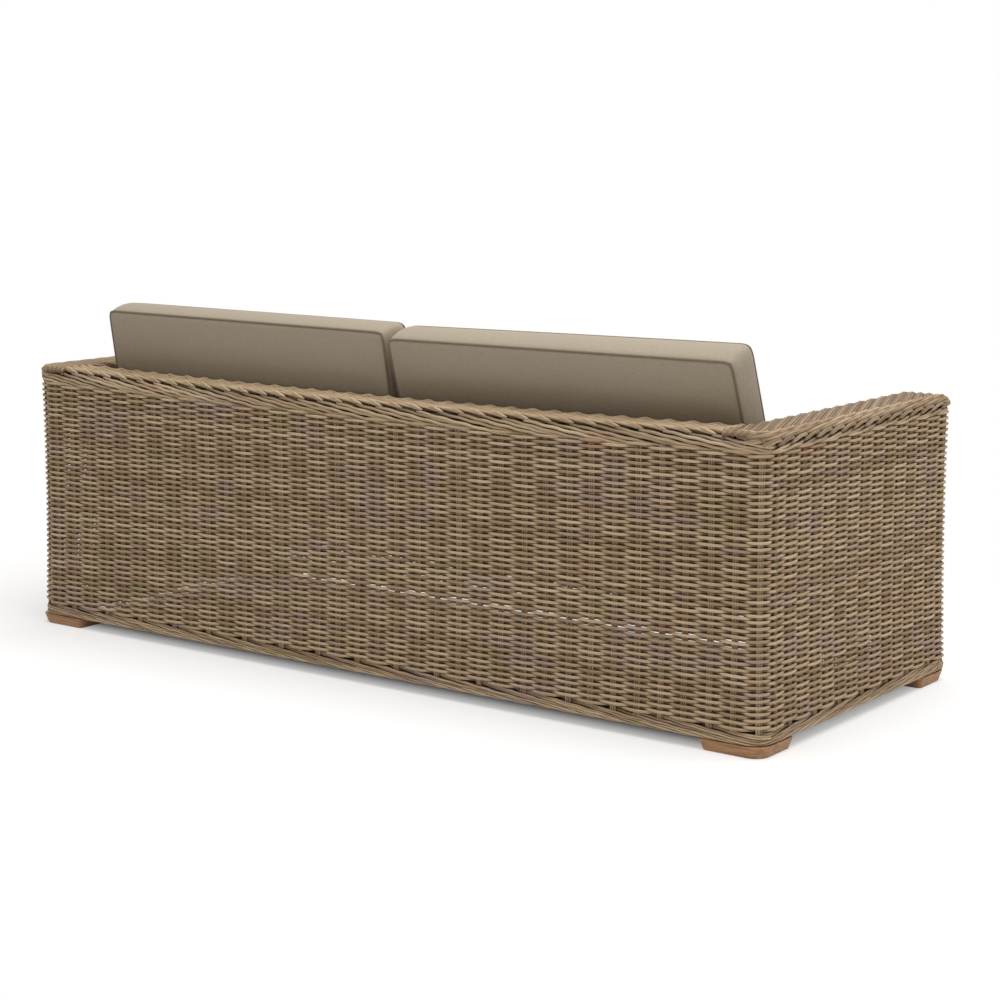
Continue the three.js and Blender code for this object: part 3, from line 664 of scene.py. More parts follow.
def noise_along(add, vector, waves, detail, shift=(0, 0, 0), **inputs):
    """Noise with so many waves to a metre along each axis of a vector."""
    spread = add("Mapping", {"Vector": vector, "Location": shift, "Scale": waves}, 0)
    return add("TexNoise", {"Vector": spread, "Scale": 1.0, "Detail": detail, **inputs}, "Fac")


def laid_over(add, shade, colour_over, value, low, high, amount=1.0):
    """A colour laid over a shade: none where a value is low, rising smoothly to amount where it is high."""
    share = add("MapRange", {"Value": value, "From Min": low, "From Max": high, "To Max": amount}, 0,
                interpolation_type="SMOOTHSTEP")
    return add("Mix", {0: share, 6: shade, 7: colour_over}, 2, data_type="RGBA")


def shown_rays(add):
    """1 for the rays that show the background: from the camera, off gloss and through glass."""
    path = add("LightPath")
    seen = path.outputs["Is Camera Ray"]
    for kind in ("Is Glossy Ray", "Is Transmission Ray"):
        seen = add("Math", {0: seen, 1: path.outputs[kind]}, 0, operation="MAXIMUM")
    return seen


def material_once(name, build, *settings):
    """The material of that name, which build makes the first time that it is asked for."""
    material = bpy.data.materials.get(name)
    if material is None:
        material = bpy.data.materials.new(name)
        add = empty_nodes(material)
        add("OutputMaterial", {"Surface": build(add, *settings)})
    return material


def wicker_surface(add, weave):
    """Extruded polyethylene strand with a streaked, weathered rattan colour.

    Each strand has its own tone, streaks run along it, and patches of reddish, pinkish and olive colour lie
    across neighbouring rows. What lies deep between the strands, and where a strand goes behind, is
    painted dark as shade. The plastic gives a faint broken sheen.
    """
    tint, deep = (add("Attribute", {}, "Fac", attribute_name=key) for key in ("tint", "deep"))
    lay = add("Attribute", {}, "Vector", attribute_name="lay")
    place = add("TexCoord", {}, "Object")
    # Streaks 40 mm long and about 1.5 mm wide, drawn coarse enough to show
    streak = noise_along(add, lay, (25, 650, 650), 3.0)
    # Stretches of one strand that change tone every 60 to 150 mm
    stretch = noise_along(add, lay, (11, 20, 20), 1.0)
    both = add("Math", {0: tint, 1: stretch}, 0, operation="ADD")
    ramp = add("ValToRGB", {"Fac": add("Math", {0: both, 1: 0.5}, 0, operation="MULTIPLY")})
    first, last = ramp.color_ramp.elements
    first.position, first.color = 0.2, weave.dark
    last.position, last.color = 0.78, weave.pale
    ramp.color_ramp.elements.new(0.5).color = weave.mid
    shade = ramp.outputs[0]
    # Patches of colour 60 to 120 mm across, wider than tall
    for seed, (patch, low, amount) in enumerate((
            (weave.reddish, 0.6, 0.5), (weave.pinkish, 0.55, 0.65), (weave.olive, 0.58, 0.6))):
        shift = (seed * 3.1, seed * 1.7, seed * 2.3)
        noise = noise_along(add, place, (7, 7, 16), 2.0, shift, Roughness=0.6)
        shade = laid_over(add, shade, patch, noise, low, low + 0.14, amount)
    shade = laid_over(add, shade, weave.dark, streak, 0.3, 0.72, 0.42)
    # Painted shade: towards the shade colour by the attribute deep
    shade = laid_over(add, shade, weave.hollow, deep, 0.1, 0.95, 0.76)
    rough = add("MapRange", {"Value": streak, "To Min": 0.5, "To Max": 0.78}, 0)
    bump = add("Bump", {"Height": streak, "Strength": 0.5, "Distance": 0.4 * MM}, 0)
    return add("BsdfPrincipled", {
        "Base Color": shade, "Roughness": rough, "IOR": 1.5, "Specular IOR Level": 0.35, "Normal": bump}, 0)


def teak_surface(add):
    """Oiled teak, sawn and sanded: straight grain of darker lines about 3 mm apart along X."""
    place = add("TexCoord", {}, "Object")
    grain = noise_along(add, place, (9, 90, 220), 5.0, Roughness=0.62, Distortion=0.6)
    pore = noise_along(add, place, (60, 1500, 1500), 2.0)
    shade = laid_over(add, linear("a87c52"), linear("7c5838"), grain, 0.35, 0.68)
    shade = laid_over(add, shade, linear("5e4229"), pore, 0.58, 0.75, 0.45)
    bump = add("Bump", {"Height": grain, "Strength": 0.35, "Distance": 0.5 * MM}, 0)
    return add("BsdfPrincipled", {"Base Color": shade, "Roughness": 0.52, "Normal": bump}, 0)


def canvas_surface(add, canvas, thread):
    """Solution-dyed acrylic canvas: crossing yarns, drawn 1.6 mm apart so that they show, two close
    tones, slubs along both yarns and a soft fuzz that brightens at grazing angles."""
    place = add("TexCoord", {}, "Object")
    fine, slow = 650, 700 / 6
    warp, weft = (noise_along(add, place, waves, 2.0) for waves in ((fine, slow, slow), (slow, fine, fine)))
    weave = add("Math", {0: warp, 1: weft}, 0, operation="ADD")
    mottle = noise_along(add, place, (5, 5, 5), 3.0)
    shade = laid_over(add, canvas, thread, weave, 0.8, 1.25)
    shade = laid_over(add, shade, thread, mottle, 0.35, 0.75, 0.16)
    bump = add("Bump", {"Height": weave, "Strength": 0.25, "Distance": 0.4 * MM}, 0)
    return add("BsdfPrincipled", {
        "Base Color": shade, "Roughness": 0.92, "Specular IOR Level": 0.2, "Sheen Weight": 0.12,
        "Sheen Roughness": 0.6, "Normal": bump}, 0)


def tube_surface(add):
    """Aluminium tube, powder coated brown-grey: satin with a fine orange-peel skin."""
    place = add("TexCoord", {}, "Object")
    peel = noise_along(add, place, (900, 900, 900), 1.0)
    wear = noise_along(add, place, (14, 14, 14), 3.0)
    shade = laid_over(add, linear("5d5247"), linear("4d443a"), wear, 0.4, 0.7, 0.5)
    bump = add("Bump", {"Height": peel, "Strength": 0.15, "Distance": 0.1 * MM}, 0)
    return add("BsdfPrincipled", {"Base Color": shade, "Roughness": 0.45, "Normal": bump}, 0)


def floor_surface(add, stage):
    """Matt painted floor that takes the shadow, and fades to plain white away from the sofa."""
    painted = add("BsdfPrincipled", {"Base Color": stage.ground, "Roughness": 0.9}, 0)
    glow = add("Emission", {"Color": (1, 1, 1, 1), "Strength": 1.0}, 0)
    spot = add("VectorMath", {0: add("TexCoord", {}, "Object")}, 0, operation="ABSOLUTE")
    split = add("SeparateXYZ", {0: spot})
    beside = [add("Math", {0: split.outputs[axis], 1: half}, 0, operation="SUBTRACT")
              for axis, half in (("X", WALL_X), ("Y", WALL_Y))]
    away = add("Math", {0: beside[0], 1: beside[1]}, 0, operation="MAXIMUM")
    near, far = (add("MapRange", {"Value": away, "From Min": low, "From Max": high, "To Max": to}, 0,
                     interpolation_type="SMOOTHSTEP")
                 for low, high, to in ((-0.1, 0.0, stage.lift), (0.1, 1.2, 1.0)))
    shown = add("Math", {0: near, 1: far}, 0, operation="MAXIMUM")
    share = add("Math", {0: shown_rays(add), 1: shown}, 0, operation="MULTIPLY")
    return add("MixShader", {0: share, 1: painted, 2: glow}, 0)


def wicker(context):
    return material_once("Round polyethylene wicker, extruded", wicker_surface, context.scene.sofa_weave)


# Cushions


def box_grid(place, counts):
    """A closed grid of six faces on the box from -1 to 1, each point moved by place(u, v, w).

    Returns the quads, a mark that is true on the eight edges round the faces v = -1 and v = 1, and the
    placed points.
    """
    axes = [np.linspace(-1, 1, n + 1) for n in counts]
    points, quads, base = [], [], 0
    for axis in range(3):
        a, b = [k for k in range(3) if k != axis]
        for sign in (-1, 1):
            ga, gb = np.meshgrid(axes[a], axes[b], indexing="ij")
            unit = np.empty(ga.shape + (3,))
            unit[..., a], unit[..., b], unit[..., axis] = ga, gb, sign
            index = base + np.arange(ga.size).reshape(ga.shape)
            cells = np.stack([index[:-1, :-1], index[1:, :-1], index[1:, 1:], index[:-1, 1:]], axis=-1)
            flip = (sign > 0) == (axis == 1)
            cells = cells.reshape(-1, 4)
            quads.append(cells[:, ::-1] if flip else cells)
            points.append(unit.reshape(-1, 3))
            base += ga.size
    unit = np.concatenate(points)
    keys = np.round(unit * 1e5).astype(np.int64)
    _, first, inverse = np.unique(keys, axis=0, return_index=True, return_inverse=True)
    unit = unit[first]
    quads = inverse.reshape(-1)[np.concatenate(quads)]
    edge = np.isclose(np.abs(unit), 1)
    seam = edge[:, 1] & (edge[:, 0] | edge[:, 2])
    return quads, seam, place(*unit.T)


def sew(name, quads, points, seam):
    mesh = bpy.data.meshes.new(name)
    mesh.from_pydata(points.tolist(), [], quads.tolist())
    mesh.update()
    mesh.polygons.foreach_set("use_smooth", np.ones(len(quads), bool))
    piece = link(name, mesh)
    group = piece.vertex_groups.new(name="seam")
    group.add([int(i) for i in np.flatnonzero(seam)], 1.0, "REPLACE")
    return piece


def read_points(mesh):
    points = np.empty(len(mesh.vertices) * 3, np.float32)
    mesh.vertices.foreach_get("co", points)
    return points.reshape(-1, 3).astype(float)


def apply_modifiers(piece):
    """Replaces a piece's mesh by its evaluated one, and drops its modifiers."""
    graph = bpy.context.evaluated_depsgraph_get()
    mesh = bpy.data.meshes.new_from_object(
        piece.evaluated_get(graph), preserve_all_data_layers=True, depsgraph=graph)
    old = piece.data
    piece.modifiers.clear()
    piece.data = mesh
    bpy.data.meshes.remove(old)


def stuff(piece, pressure):
    """Blows the sewn cover up by cloth simulation with its seams held, over twenty frames."""
    cloth = piece.modifiers.new("stuffing", "CLOTH")
    cloth.settings.use_pressure = True
    cloth.settings.uniform_pressure_force = pressure
    cloth.settings.effector_weights.gravity = 0
    cloth.settings.vertex_group_mass = "seam"
    cloth.settings.tension_stiffness = 12
    cloth.settings.compression_stiffness = 12
    cloth.settings.bending_stiffness = 0.6
    cloth.settings.quality = 5
    cloth.point_cache.frame_start, cloth.point_cache.frame_end = 1, 20
    for number in range(1, 21):
        bpy.context.scene.frame_set(number)
    apply_modifiers(piece)
    bpy.context.scene.frame_set(1)


def cushion(name, place, size, seams_out, keep_in, settings):
    """A boxed cushion and its piping: a sewn grid is stuffed, held in by keep_in, divided twice, and piped
    along both faces. No point moves further than the setting swell: it keeps swell tanh(way / swell)."""
    counts = [max(round(side / settings.cell), 4) for side in size]
    quads, seam, points = box_grid(place, counts)
    piece = sew(name, quads, points, seam)
    stuff(piece, settings.pressure)
    moved = read_points(piece.data) - points
    far = np.linalg.norm(moved, axis=1, keepdims=True)
    held = settings.swell * np.tanh(far / settings.swell) / np.maximum(far, 1e-9)
    points = keep_in(points + moved * held)
    piece.data.vertices.foreach_set("co", points.astype(np.float32).ravel())
    finer = piece.modifiers.new("finer", "SUBSURF")
    finer.levels = finer.render_levels = 2
    apply_modifiers(piece)
    pipes = piping(name, piece, settings.piping, seams_out)
    return piece, pipes


def piping(name, piece, diameter, through):
    """Piping along both seam loops: the seam points in order of their angle round the face, as a closed
    tube. through is the direction from the rear face to the front face."""
    points = read_points(piece.data)
    group = piece.vertex_groups["seam"].index
    weight = np.array([max((g.weight for g in v.groups if g.group == group), default=0)
                       for v in piece.data.vertices])
    seam = points[weight > 0.999]
    through = np.array(through, float) / np.linalg.norm(through)
    depth = seam @ through
    middle = (depth.max() + depth.min()) / 2
    side = np.array([1.0, 0, 0])
    up = np.cross(side, through)
    strands = Strands()
    for face in (seam[depth < middle], seam[depth >= middle]):
        centre = (face.max(0) + face.min(0)) / 2
        loop = face[np.argsort(np.arctan2((face - centre) @ up, (face - centre) @ side))]
        loop = np.concatenate([loop, loop[:2]])
        away = loop - centre
        away -= np.outer(away @ through, through)
        away /= np.linalg.norm(away, axis=1, keepdims=True)
        strands.sweep(loop[None], away[None], diameter, sides=8)
    return strands.make(name + "_piping")


# Operators


class SOFA_OT_walls(bpy.types.Operator):
    """Weaves the outer walls of the back and both arms over their stakes"""
    bl_idname = "sofa.walls"
    bl_label = "Woven walls"

    def execute(self, context):
        weave, rims = context.scene.sofa_weave, context.scene.sofa_rims
        line = PlanLine()
        stakes = stake_runs(line, weave)

        def high(s):
            """The top row: under the slanted strands, and a little higher on the seat side."""
            x, y, _, _ = line.at(s)
            inside = (np.abs(x) < INNER_X + MM) & (y < INNER_Y)
            return rim_line(x, y) - np.where(inside, rims.inner_edge + rims.fall, rims.wall_drop)

        low_row = FOOT_RIM_HIGH[2] + weave.row
        rows = round((RIM_TOP - rims.wall_drop - low_row) / weave.row)
        split_left = line.run_at_y(ARM_HIGH[1], line.ends[4], line.ends[6])
        split_right = line.run_at_y(ARM_HIGH[1], line.ends[7], line.ends[9])
        material = wicker(context)
        half = rows // 2
        for name, part, nodes in (("weave_back_lower", slice(None, half), ("weave_back_outer",)),
                                  ("weave_back_upper", slice(half, None), ())):
            back = Strands()
            wall_weave(back, line, weave, stakes, split_left, split_right, rows, low_row, high, part)
            dress(back.make(name), material, "wicker", ROOT, *nodes)
        back = Strands()
        wall_stakes(back, line, weave, stakes, split_left, split_right, SKIN_LOW, high)
        dress(back.make("stakes_back"), material, "wicker", ROOT)
        for arm, spans in (("left", ((0, line.ends[2]), (line.ends[2], split_left))),
                           ("right", ((line.ends[11], line.ends[-1]), (split_right, line.ends[11])))):
            for side, (first, last), nodes in zip(("inner", "outer"), spans, ((), ("weave_arm_" + arm,))):
                skin = Strands()
                wall_weave(skin, line, weave, stakes, first, last, rows, low_row, high)
                wall_stakes(skin, line, weave, stakes, first, last, SKIN_LOW, high)
                dress(skin.make(f"weave_arm_{arm}_{side}"), material, "wicker", ROOT, *nodes)
        return {"FINISHED"}


class SOFA_OT_seat(bpy.types.Operator):
    """Weaves the seat front, the seat deck and the back rest"""
    bl_idname = "sofa.seat"
    bl_label = "Woven seat"

    def execute(self, context):
        weave = context.scene.sofa_weave
        material = wicker(context)
        inset = swing_of(weave) + weave.weaver / 2
        width = FRONT_HIGH[0]

        def sheet(corners, normals):
            """A sheet along X through corner points (y, z), its face on the given side."""
            corners, normals = np.array(corners), np.array(normals)
            runs = np.concatenate([[0], np.cumsum(np.linalg.norm(np.diff(corners, axis=0), axis=1))])

            def place(x, share, lift):
                y, z = (np.interp(share * runs[-1], runs, corners[:, k]) for k in (0, 1))
                ny, nz = (np.interp(share * runs[-1], runs, normals[:, k]) for k in (0, 1))
                size = np.hypot(ny, nz)
                ny, nz = ny / size, nz / size
                out = lift - inset
                return vectors(x, y + ny * out, z + nz * out), vectors(0, ny, nz)
            return place, runs[-1]

        crank = (REST_LOW[1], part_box("back_cushion_right")[0][2])
        top = (REST_LOW[1] + (REST_HIGH[2] - crank[1]) * math.tan(LEAN), REST_HIGH[2])
        tilt = (-math.cos(LEAN), math.sin(LEAN))
        for name, node, corners, normals, row, sides in (
                ("weave_front", "weave_seat_front", [(FRONT_LOW[1], SKIN_LOW), (FRONT_LOW[1], DECK_LOW[2])],
                 [(-1, 0), (-1, 0)], weave.row, 6),
                ("weave_deck", "weave_seat_deck", [(DECK_LOW[1], DECK_HIGH[2]), (DECK_HIGH[1], DECK_HIGH[2])],
                 [(0, 1), (0, 1)], weave.coarse_row, 5),
                ("weave_rest", "weave_back_rest", [(REST_LOW[1], REST_LOW[2]), crank, top],
                 [(-1, 0), tilt, tilt], weave.coarse_row, 5)):
            place, tall = sheet(corners, normals)
            strands = Strands()
            flat_weave(strands, weave, place, width, round(tall / row), weave.back_pitch, sides)
            dress(strands.make(name), material, "wicker", ROOT, node)
        return {"FINISHED"}


class SOFA_OT_rims(bpy.types.Operator):
    """Lays the slanted borders of the back and the arms, and the band of long strands below each"""
    bl_idname = "sofa.rims"
    bl_label = "Rims"

    def execute(self, context):
        weave, rims = context.scene.sofa_weave, context.scene.sofa_rims
        line = PlanLine()
        material = wicker(context)
        overlap = 0.8 * weave.side_pitch
        clear, hidden = 1.5 * MM, 2 * MM  # band below the feet of the border, core of painted shade above the band's top
        for name, span, way in rim_spans(line):
            top, tall, across = ((rims.back_drop + clear, rims.band, 5) if name == "back" else
                                 (rims.hole_drop + weave.weaver / 2, rims.strip, 2))
            wider = ((span[0] - overlap, span[1] + overlap) if name == "back" else span)
            wales = Strands()
            wale(wales, line, weave, wider, lambda x, y: rim_line(x, y) - top - tall,
                 lambda x, y: rim_line(x, y) - top, across, way, weave.weaver, tone=(0.4, 1))
            depth = top - hidden
            # A core painted in full shade fills behind the holes
            rim_rope(wales, line, span, rims.core, lambda x, y: rim_line(x, y) - nose(y) * 0.5 - depth,
                     (rims.core, rims.core), 3 * way, 1, rims.strand)
            dress(wales.make("wale_" + name), material, "wicker_rim", ROOT, "rim_roll_" + name)
        self.back_border(weave, rims, material)
        for arm, side in ARMS:
            self.arm_border(weave, rims, line, material, arm, side)
        return {"FINISHED"}

    def back_border(self, weave, rims, material):
        """The border of the back: its strands rise towards the left arm as they cross to the seat."""
        feet_in, full_hump = 6 * MM, 60 * MM  # feet inside the wall's face, way in to the humps' full height
        face = WALL_Y + weave.proud - feet_in

        def place(run, inward, under, out, up):
            """Over the back, by the distance from the right arm: dipped, with a hump to each stake."""
            x = run - INNER_X
            crest = (1 - np.cos(2 * np.pi * run / weave.back_pitch)) / 2
            z = RIM_TOP - dip(x) - under - rims.hump * crest * np.clip(inward / full_hump, 0, 1)
            return vectors(x, face - inward, z), vectors(0, out, up)

        border = Strands()
        flat = face - INNER_Y - rims.back_edge - rims.inner_edge
        slanted_border(
            border, place, 2 * INNER_X, weave.back_pitch, rims.back_slant,
            (rims.back_drop - rims.back_edge, rims.back_edge, flat, rims.inner_edge), rims.fall, begin=0,
            gather=0.25, relief=rims.back_relief, thick=rims.strand, tone=(0.5, 1))
        dress(border.make("border_strands_back"), material, "wicker_rim", ROOT, "rim_band_back")

    def arm_border(self, weave, rims, line, material, arm, side):
        """An arm's border: long strands climb out of the holes along the outer edge and round the front
        end, and shorter ones cross to the seat, both towards the front."""
        face, foot = WALL_X + weave.proud, RIM_TOP - rims.hole_drop
        width = face - INNER_X
        tail, tucked, deeper = rims.tail, rims.tucked, 9 * MM
        begin, finish = (line.rear_left, line.ends[1]) if side > 0 else (line.rear_right, line.ends[12])
        begin += side * tucked

        def squeeze(top, under):
            """Height at a depth under a lowered top, with the feet of the strands left where they are."""
            return top - under * (top - foot) / (RIM_TOP - foot)

        def across(run, inward, under, out, up):
            """Over the straight arm, by the distance from its rear end, with both ends rounded down."""
            y = WALL_Y - run
            over = np.clip(tail - run, 0, tail)
            top = RIM_TOP - nose(y) - tail + np.sqrt(tail ** 2 - (0.95 * over) ** 2)
            x = face - inward - drawn_in(y, weave) * np.clip(1 - inward / width, 0, 1)
            return vectors(side * x, y, squeeze(top, under)), vectors(side * out, 0, up)

        def along(run, inward, under, out, up):
            """Along the plan line from under the border of the back, so round the front corner too."""
            inside = inward - weave.proud + deeper * np.clip(1 - run / tucked, 0, 1)
            x, y, nx, ny = line.at(begin - side * run, inside)
            return vectors(x, y, squeeze(RIM_TOP - nose(y), under)), vectors(nx * out, ny * out, up)

        border = Strands()
        shape = (rims.hole_drop - rims.edge, rims.edge, width - rims.edge - rims.inner_edge, rims.inner_edge)
        crown = shape[0] + rims.edge * math.pi / 2
        long, beside, foot_u = abs(finish - begin), 0.16 * weave.side_pitch, -4 * MM
        # Painted shade darkens the arm tops: their strands take at least 0.4 of it, and the slanted ones 0.5
        # and the darker tones
        climbing_border(
            border, along, long, weave.side_pitch, 6, (foot_u, crown + rims.long_strand), shape,
            rims.long_strand, rims.hole, soil=0.4)
        # A short strand beside each long one, so that the hole between two long ones is small
        climbing_border(
            border, lambda run, *others: along(run + beside, *others), long - beside, weave.side_pitch, 1,
            (foot_u, 1.5 * rims.hole), shape, rims.strand, rims.hole, soil=0.4)
        slanted_border(
            border, across, 2 * WALL_Y - rims.edge, weave.side_pitch, rims.arm_slant, shape, rims.fall,
            begin=crown, gather=1, relief=rims.arm_relief, thick=rims.strand, soil=0.5, tone=(0, 0.6))
        dress(border.make("border_strands_" + arm), material, "wicker_rim", ROOT, "rim_band_" + arm)


def rim_spans(line):
    """Name, ends along the plan line and way of the three rim lengths: the strands of a way of -1 fall
    along the line, those of 1 rise, so that on both arms they rise towards the front."""
    return (("left", (line.ends[1], line.rear_left), -1), ("back", (line.rear_left, line.rear_right), -1),
            ("right", (line.rear_right, line.ends[12]), 1))


class SOFA_OT_borders(bpy.types.Operator):
    """Lays the border along the foot of the weave and the edge of the seat deck"""
    bl_idname = "sofa.borders"
    bl_label = "Bottom borders"

    def execute(self, context):
        weave, rims = context.scene.sofa_weave, context.scene.sofa_rims
        line = PlanLine()
        material = wicker(context)
        size = rims.foot_size
        middle = FOOT_RIM_LOW[2] + size / 2
        sunk, over = 2 * MM, 9 * MM  # border behind the strands' faces, long strands above the border
        inside = size / 2 - weave.proud + sunk
        thick = rims.foot_strand
        filling = (14 * MM, 26 * MM)  # width and height of the rope behind the long strands, a core painted in full shade
        for name, span, way in rim_spans(line):
            strands = Strands()
            wider = (span[0] - weave.side_pitch, span[1] + weave.side_pitch) if name == "back" else span
            wale(strands, line, weave, wider, lambda x, y: middle, lambda x, y: FOOT_RIM_HIGH[2] + over,
                 5, way, thick, every=2, abreast=2)
            rim_rope(strands, line, span, inside, lambda x, y: middle, (size, size), 5 * way, 5, thick)
            rim_rope(strands, line, span, rims.core, lambda x, y: middle + size, filling, 3 * way, 1, thick)
            dress(strands.make("foot_border_" + name), material, "wicker_rim", ROOT, "border_" + name)
        x = np.linspace(-FRONT_HIGH[0], FRONT_HIGH[0], 150)
        out = np.tile([0, -1.0, 0], (len(x), 1))
        for name, y, z, size, stakes, nodes in (
                ("foot_border_front", FRONT_LOW[1] + inside, middle, size, 5, ("border_front",)),
                ("foot_border_front_upper", FRONT_LOW[1] + inside, middle + size, size, 5, ()),
                ("deck_edge", FRONT_LOW[1] + 6 * MM, DECK_HIGH[2] - 8 * MM, 15 * MM, 2, ())):
            strands = Strands()
            rope(strands, vectors(x, y, z), out, x / weave.back_pitch / stakes, size, size, 5, thick)
            dress(strands.make(name), material, "wicker_rim", ROOT, *nodes)
        return {"FINISHED"}


class SOFA_OT_feet(bpy.types.Operator):
    """Makes the four teak feet with eased edges"""
    bl_idname = "sofa.feet"
    bl_label = "Teak feet"

    def execute(self, context):
        material = material_once("Oiled teak, sanded", teak_surface)
        for end in ("rear", "front"):
            for arm, _ in ARMS:
                node = f"foot_{end}_{arm}"
                piece = self.foot(node)
                dress(piece, material, "teak", ROOT, node)
        return {"FINISHED"}

    def foot(self, node):
        """A rounded rectangle carried up through levels: drawn in towards the floor, edges eased.

        The outline is a rectangle with quarter-circle corners, the outer corner wider than the rest.
        """
        low, high = box_of(node)
        middle, half = (low + high) / 2, (high - low) / 2
        sign_x, sign_y = np.sign(middle[:2])
        wide, tight = 36 * MM, 11 * MM
        turn = np.linspace(0, math.pi / 2, 10)
        corners = []
        for cx, cy, start in ((1, 1, 0), (-1, 1, 1), (-1, -1, 2), (1, -1, 3)):
            radius = wide if cx * sign_x > 0 and cy * sign_y > 0 else tight
            turned = turn + start * math.pi / 2
            corners.append(np.stack([cx * (half[0] - radius) + radius * np.cos(turned),
                                     cy * (half[1] - radius) + radius * np.sin(turned)], -1))
        outline = np.concatenate(corners)
        taper, ease = 7 * MM, 1.6 * MM
        tall = high[2] - low[2]
        levels = [(0, taper + ease), (ease / 2, taper + ease * 0.3), (ease, taper),
                  (tall - ease, ease * 0.4), (tall - ease / 2, 0.3 * ease), (tall, ease)]
        rings = []
        for z, inset in levels:
            scale = 1 - inset / half[:2]
            rings.append(np.column_stack([outline * scale, np.full(len(outline), z)]))
        points = np.stack(rings) + [middle[0], middle[1], low[2]]
        count = len(outline)
        index = np.arange(len(levels) * count).reshape(len(levels), count)
        nxt = np.roll(index, -1, axis=1)
        quads = np.stack([index[:-1], nxt[:-1], nxt[1:], index[1:]], -1).reshape(-1, 4)
        mesh = bpy.data.meshes.new("teak_" + node)
        faces = quads.tolist() + [index[0, ::-1].tolist(), index[-1].tolist()]
        mesh.from_pydata(points.reshape(-1, 3).tolist(), [], faces)
        mesh.polygons.foreach_set("use_smooth", [True] * len(quads) + [False] * 2)
        mesh.update()
        return link("teak_" + node, mesh)


class SOFA_OT_cushions(bpy.types.Operator):
    """Sews, stuffs and pipes the two seat cushions and the two back cushions"""
    bl_idname = "sofa.cushions"
    bl_label = "Cushions"

    def execute(self, context):
        settings = context.scene.sofa_cushions
        canvas = material_once(
            "Outdoor acrylic canvas, plain weave", canvas_surface, settings.canvas, settings.thread)
        cord = material_once("Acrylic canvas piping, dark", canvas_surface, settings.cord, settings.cord)
        for kind, make in (("seat", self.seat), ("back", self.back)):
            for arm, _ in ARMS:
                node = f"{kind}_cushion_{arm}"
                piece, pipes = make(node, settings)
                dress(piece, canvas, "cushion_fabric", node, node)
                dress(pipes, cord, "cushion_fabric", node)
        return {"FINISHED"}

    def seat(self, node, settings):
        """A level box, its face panels up and down, a little smaller than its solid before it is stuffed.

        Held in, it keeps to its solid, and lies flat from where its back cushion stands, over 40 mm.
        """
        low, high = box_of(node)
        floor, limit = low, high
        spare, fade, rise, proud, touch = 5 * MM, 40 * MM, 16 * MM, 6 * MM, 0.3 * MM
        low, high = low + [spare, spare, spare - 4 * MM], high - spare
        high[2] -= settings.seat_room - 2 * MM
        middle, half = (low + high) / 2, (high - low) / 2

        def place(u, v, w):
            return vectors(middle[0] + u * half[0], middle[1] - w * half[1], middle[2] + v * half[2])

        back_foot = box_of(node.replace("seat", "back"))[0]

        def keep_in(points):
            points[:, 2] = np.maximum(points[:, 2], floor[2])
            points[:, 0] = np.clip(points[:, 0], floor[0], limit[0])
            points[:, 1] = np.clip(points[:, 1], floor[1] - proud, limit[1])
            share = np.clip((points[:, 1] - back_foot[1] + fade) / fade, 0, 1)
            roof = back_foot[2] - touch + (1 - share) * rise
            points[:, 2] = np.minimum(points[:, 2], roof)
            return points

        return cushion(node + "_cover", place, 2 * half, (0, 0, 1), keep_in, settings)

    def back(self, node, settings):
        """A box between the back rest and the seat, its face panels to the rear and the front.

        Up to the rim its rear face lies on the plane of the back rest. Above the rim it leans by an angle
        that goes evenly from one end of the cushion to the other. Its corners are cut by 0.29 of their
        radius, as a quarter circle cuts them.
        """
        low, high = box_of(node)
        clear, touch = 1 * MM, 0.4 * MM  # room to the seat and the rest, before and after it is stuffed
        play, above, rise = 5 * MM, 5 * MM, 40 * MM  # how far it may swell, and from where above the rim
        thick, foot = settings.thickness, low[2] + clear
        side = node.rsplit("_", 1)[1]
        leans, insets, extras = BACK_LEANS[side], BACK_INSETS[side], BACK_EXTRAS[side]
        bend_z = RIM_TOP - RIM_EDGE  # below it the rear face lies on the back rest's plane
        ends = low[0] + insets[0] * MM, high[0] - insets[1] * MM
        middle, half = (ends[0] + ends[1]) / 2, (ends[1] - ends[0]) / 2

        def lean_at(x):
            return np.interp((x - middle) / half, [-1, 1], leans)

        def rear(x, z):
            """Place of the rear face at a height."""
            over = np.maximum(z - bend_z, 0)
            return REST_EDGE + np.minimum(z - bend_z, 0) * math.tan(LEAN) + over * np.tan(lean_at(x))

        def place(u, v, w):
            inward, up = thick * (1 - v) / 2, (w + 1) / 2
            x = middle + u * half
            lean = lean_at(x)
            slope = settings.slope + np.interp(u, [-1, 1], extras) * MM
            edge = foot + slope * np.cos(lean)
            z = foot + (edge - foot) * up
            y = rear(x, z) - inward * np.cos(lean)
            round_off = settings.corner * 0.29 * (
                np.clip(1 - (1 - np.abs(u)) * half / settings.corner, 0, 1)
                * np.clip(1 - (1 - np.abs(w)) * slope / 2 / settings.corner, 0, 1))
            swell = settings.crown * (1 - v ** 2)
            x = x + np.sign(u) * (0.6 * swell * (np.abs(u) > 0.999) - round_off)
            z = z + inward * np.sin(lean) * up + swell * (w > 0.999) - np.sign(w) * round_off
            return vectors(x, y - clear, z)

        def keep_in(points):
            free = np.clip((points[:, 2] - RIM_TOP - above) / rise, 0, 1) * play
            points[:, 1] = np.minimum(points[:, 1], rear(points[:, 0], points[:, 2]) - touch + free)
            points[:, 2] = np.maximum(points[:, 2], low[2])
            points[:, 0] = np.clip(points[:, 0], ends[0] - play, ends[1] + play)
            return points

        size = (2 * half, thick, settings.slope)
        through = (0, math.cos(LEAN), -math.sin(LEAN))
        return cushion(node + "_cover", place, size, through, keep_in, settings)


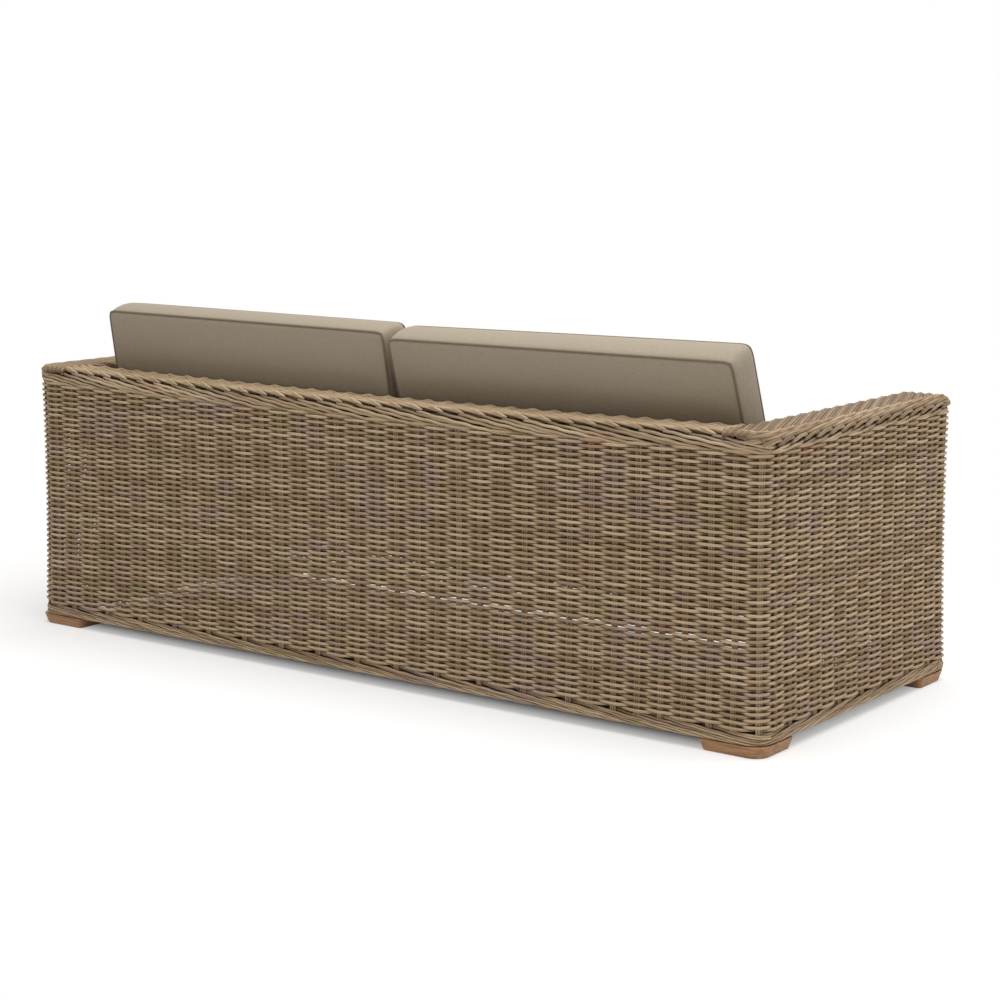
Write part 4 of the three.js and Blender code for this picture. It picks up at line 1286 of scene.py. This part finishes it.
class SOFA_OT_tubes(bpy.types.Operator):
    """Gives the tube frame its powder coat"""
    bl_idname = "sofa.tubes"
    bl_label = "Tube frame"

    def execute(self, context):
        coat = material_once("Powder coated aluminium tube", tube_surface)
        for part in frame["record"]["subparts"]:
            if part["material_slot"] == "frame_tube":
                piece = frame["nodes"][part["node"]]
                piece.data.materials.clear()
                piece.data.materials.append(coat)
        return {"FINISHED"}


class SOFA_OT_stage(bpy.types.Operator):
    """Sets the floor, the lights and the camera"""
    bl_idname = "sofa.stage"
    bl_label = "Stage"

    def execute(self, context):
        stage = context.scene.sofa_stage
        scene = context.scene
        scene.view_settings.view_transform = "Standard"
        mesh = bpy.data.meshes.new("floor")
        corners = [(x * stage.floor, y * stage.floor, 0) for x, y in ((-1, -1), (1, -1), (1, 1), (-1, 1))]
        mesh.from_pydata(corners, [], [(0, 1, 2, 3)])
        floor = link("floor", mesh)
        floor.data.materials.append(material_once("Matt painted floor", floor_surface, stage))
        self.surround(scene, stage)
        lamp = bpy.data.lights.new("soft box above", "AREA")
        lamp.size, lamp.energy = stage.box_size, stage.key
        holder = bpy.data.objects.new("soft box above", lamp)
        holder.location = stage.box_place
        scene.collection.objects.link(holder)
        camera = bpy.data.cameras.new("camera")
        camera.lens, camera.sensor_width, camera.shift_y = stage.lens, 36, stage.shift
        holder = bpy.data.objects.new("camera", camera)
        holder.location = stage.eye
        heading = Vector((math.cos(stage.pitch) * math.sin(stage.yaw),
                             math.cos(stage.pitch) * math.cos(stage.yaw), -math.sin(stage.pitch)))
        holder.rotation_euler = heading.to_track_quat("-Z", "Y").to_euler()
        scene.collection.objects.link(holder)
        scene.camera = holder
        return {"FINISHED"}

    def surround(self, scene, stage):
        """An even surround, white to the camera and to reflections."""
        scene.world = bpy.data.worlds.new("surround")
        add = empty_nodes(scene.world)
        strength = add("MapRange", {"Value": shown_rays(add), "To Min": stage.sky, "To Max": 1.0}, 0)
        glow = add("Background", {"Color": (1, 1, 1, 1), "Strength": strength}, 0)
        add("OutputWorld", {"Surface": glow})


class SOFA_PT_panel(bpy.types.Panel):
    bl_label = "Woven garden sofa"
    bl_idname = "SOFA_PT_panel"
    bl_space_type = "VIEW_3D"
    bl_region_type = "UI"
    bl_category = "Sofa"

    def draw(self, context):
        for name in GROUPS:
            group = getattr(context.scene, name)
            box = self.layout.box()
            for key in group.__annotations__:
                box.prop(group, key)
        for step in STEPS:
            self.layout.operator(step.bl_idname)


GROUPS = {
    "sofa_weave": SofaWeave, "sofa_rims": SofaRims, "sofa_cushions": SofaCushions, "sofa_stage": SofaStage}
STEPS = (SOFA_OT_stage, SOFA_OT_walls, SOFA_OT_seat, SOFA_OT_rims, SOFA_OT_borders, SOFA_OT_feet,
         SOFA_OT_tubes, SOFA_OT_cushions)


def register():
    for kind in (*GROUPS.values(), *STEPS, SOFA_PT_panel):
        bpy.utils.register_class(kind)
    for name, kind in GROUPS.items():
        setattr(bpy.types.Scene, name, PointerProperty(type=kind))


def unregister():
    for name in GROUPS:
        delattr(bpy.types.Scene, name)
    for kind in (SOFA_PT_panel, *reversed(STEPS), *GROUPS.values()):
        bpy.utils.unregister_class(kind)


def main():
    register()
    for step in STEPS:
        space, operator = step.bl_idname.split(".")
        getattr(getattr(bpy.ops, space), operator)()


if __name__ == "__main__":
    main()
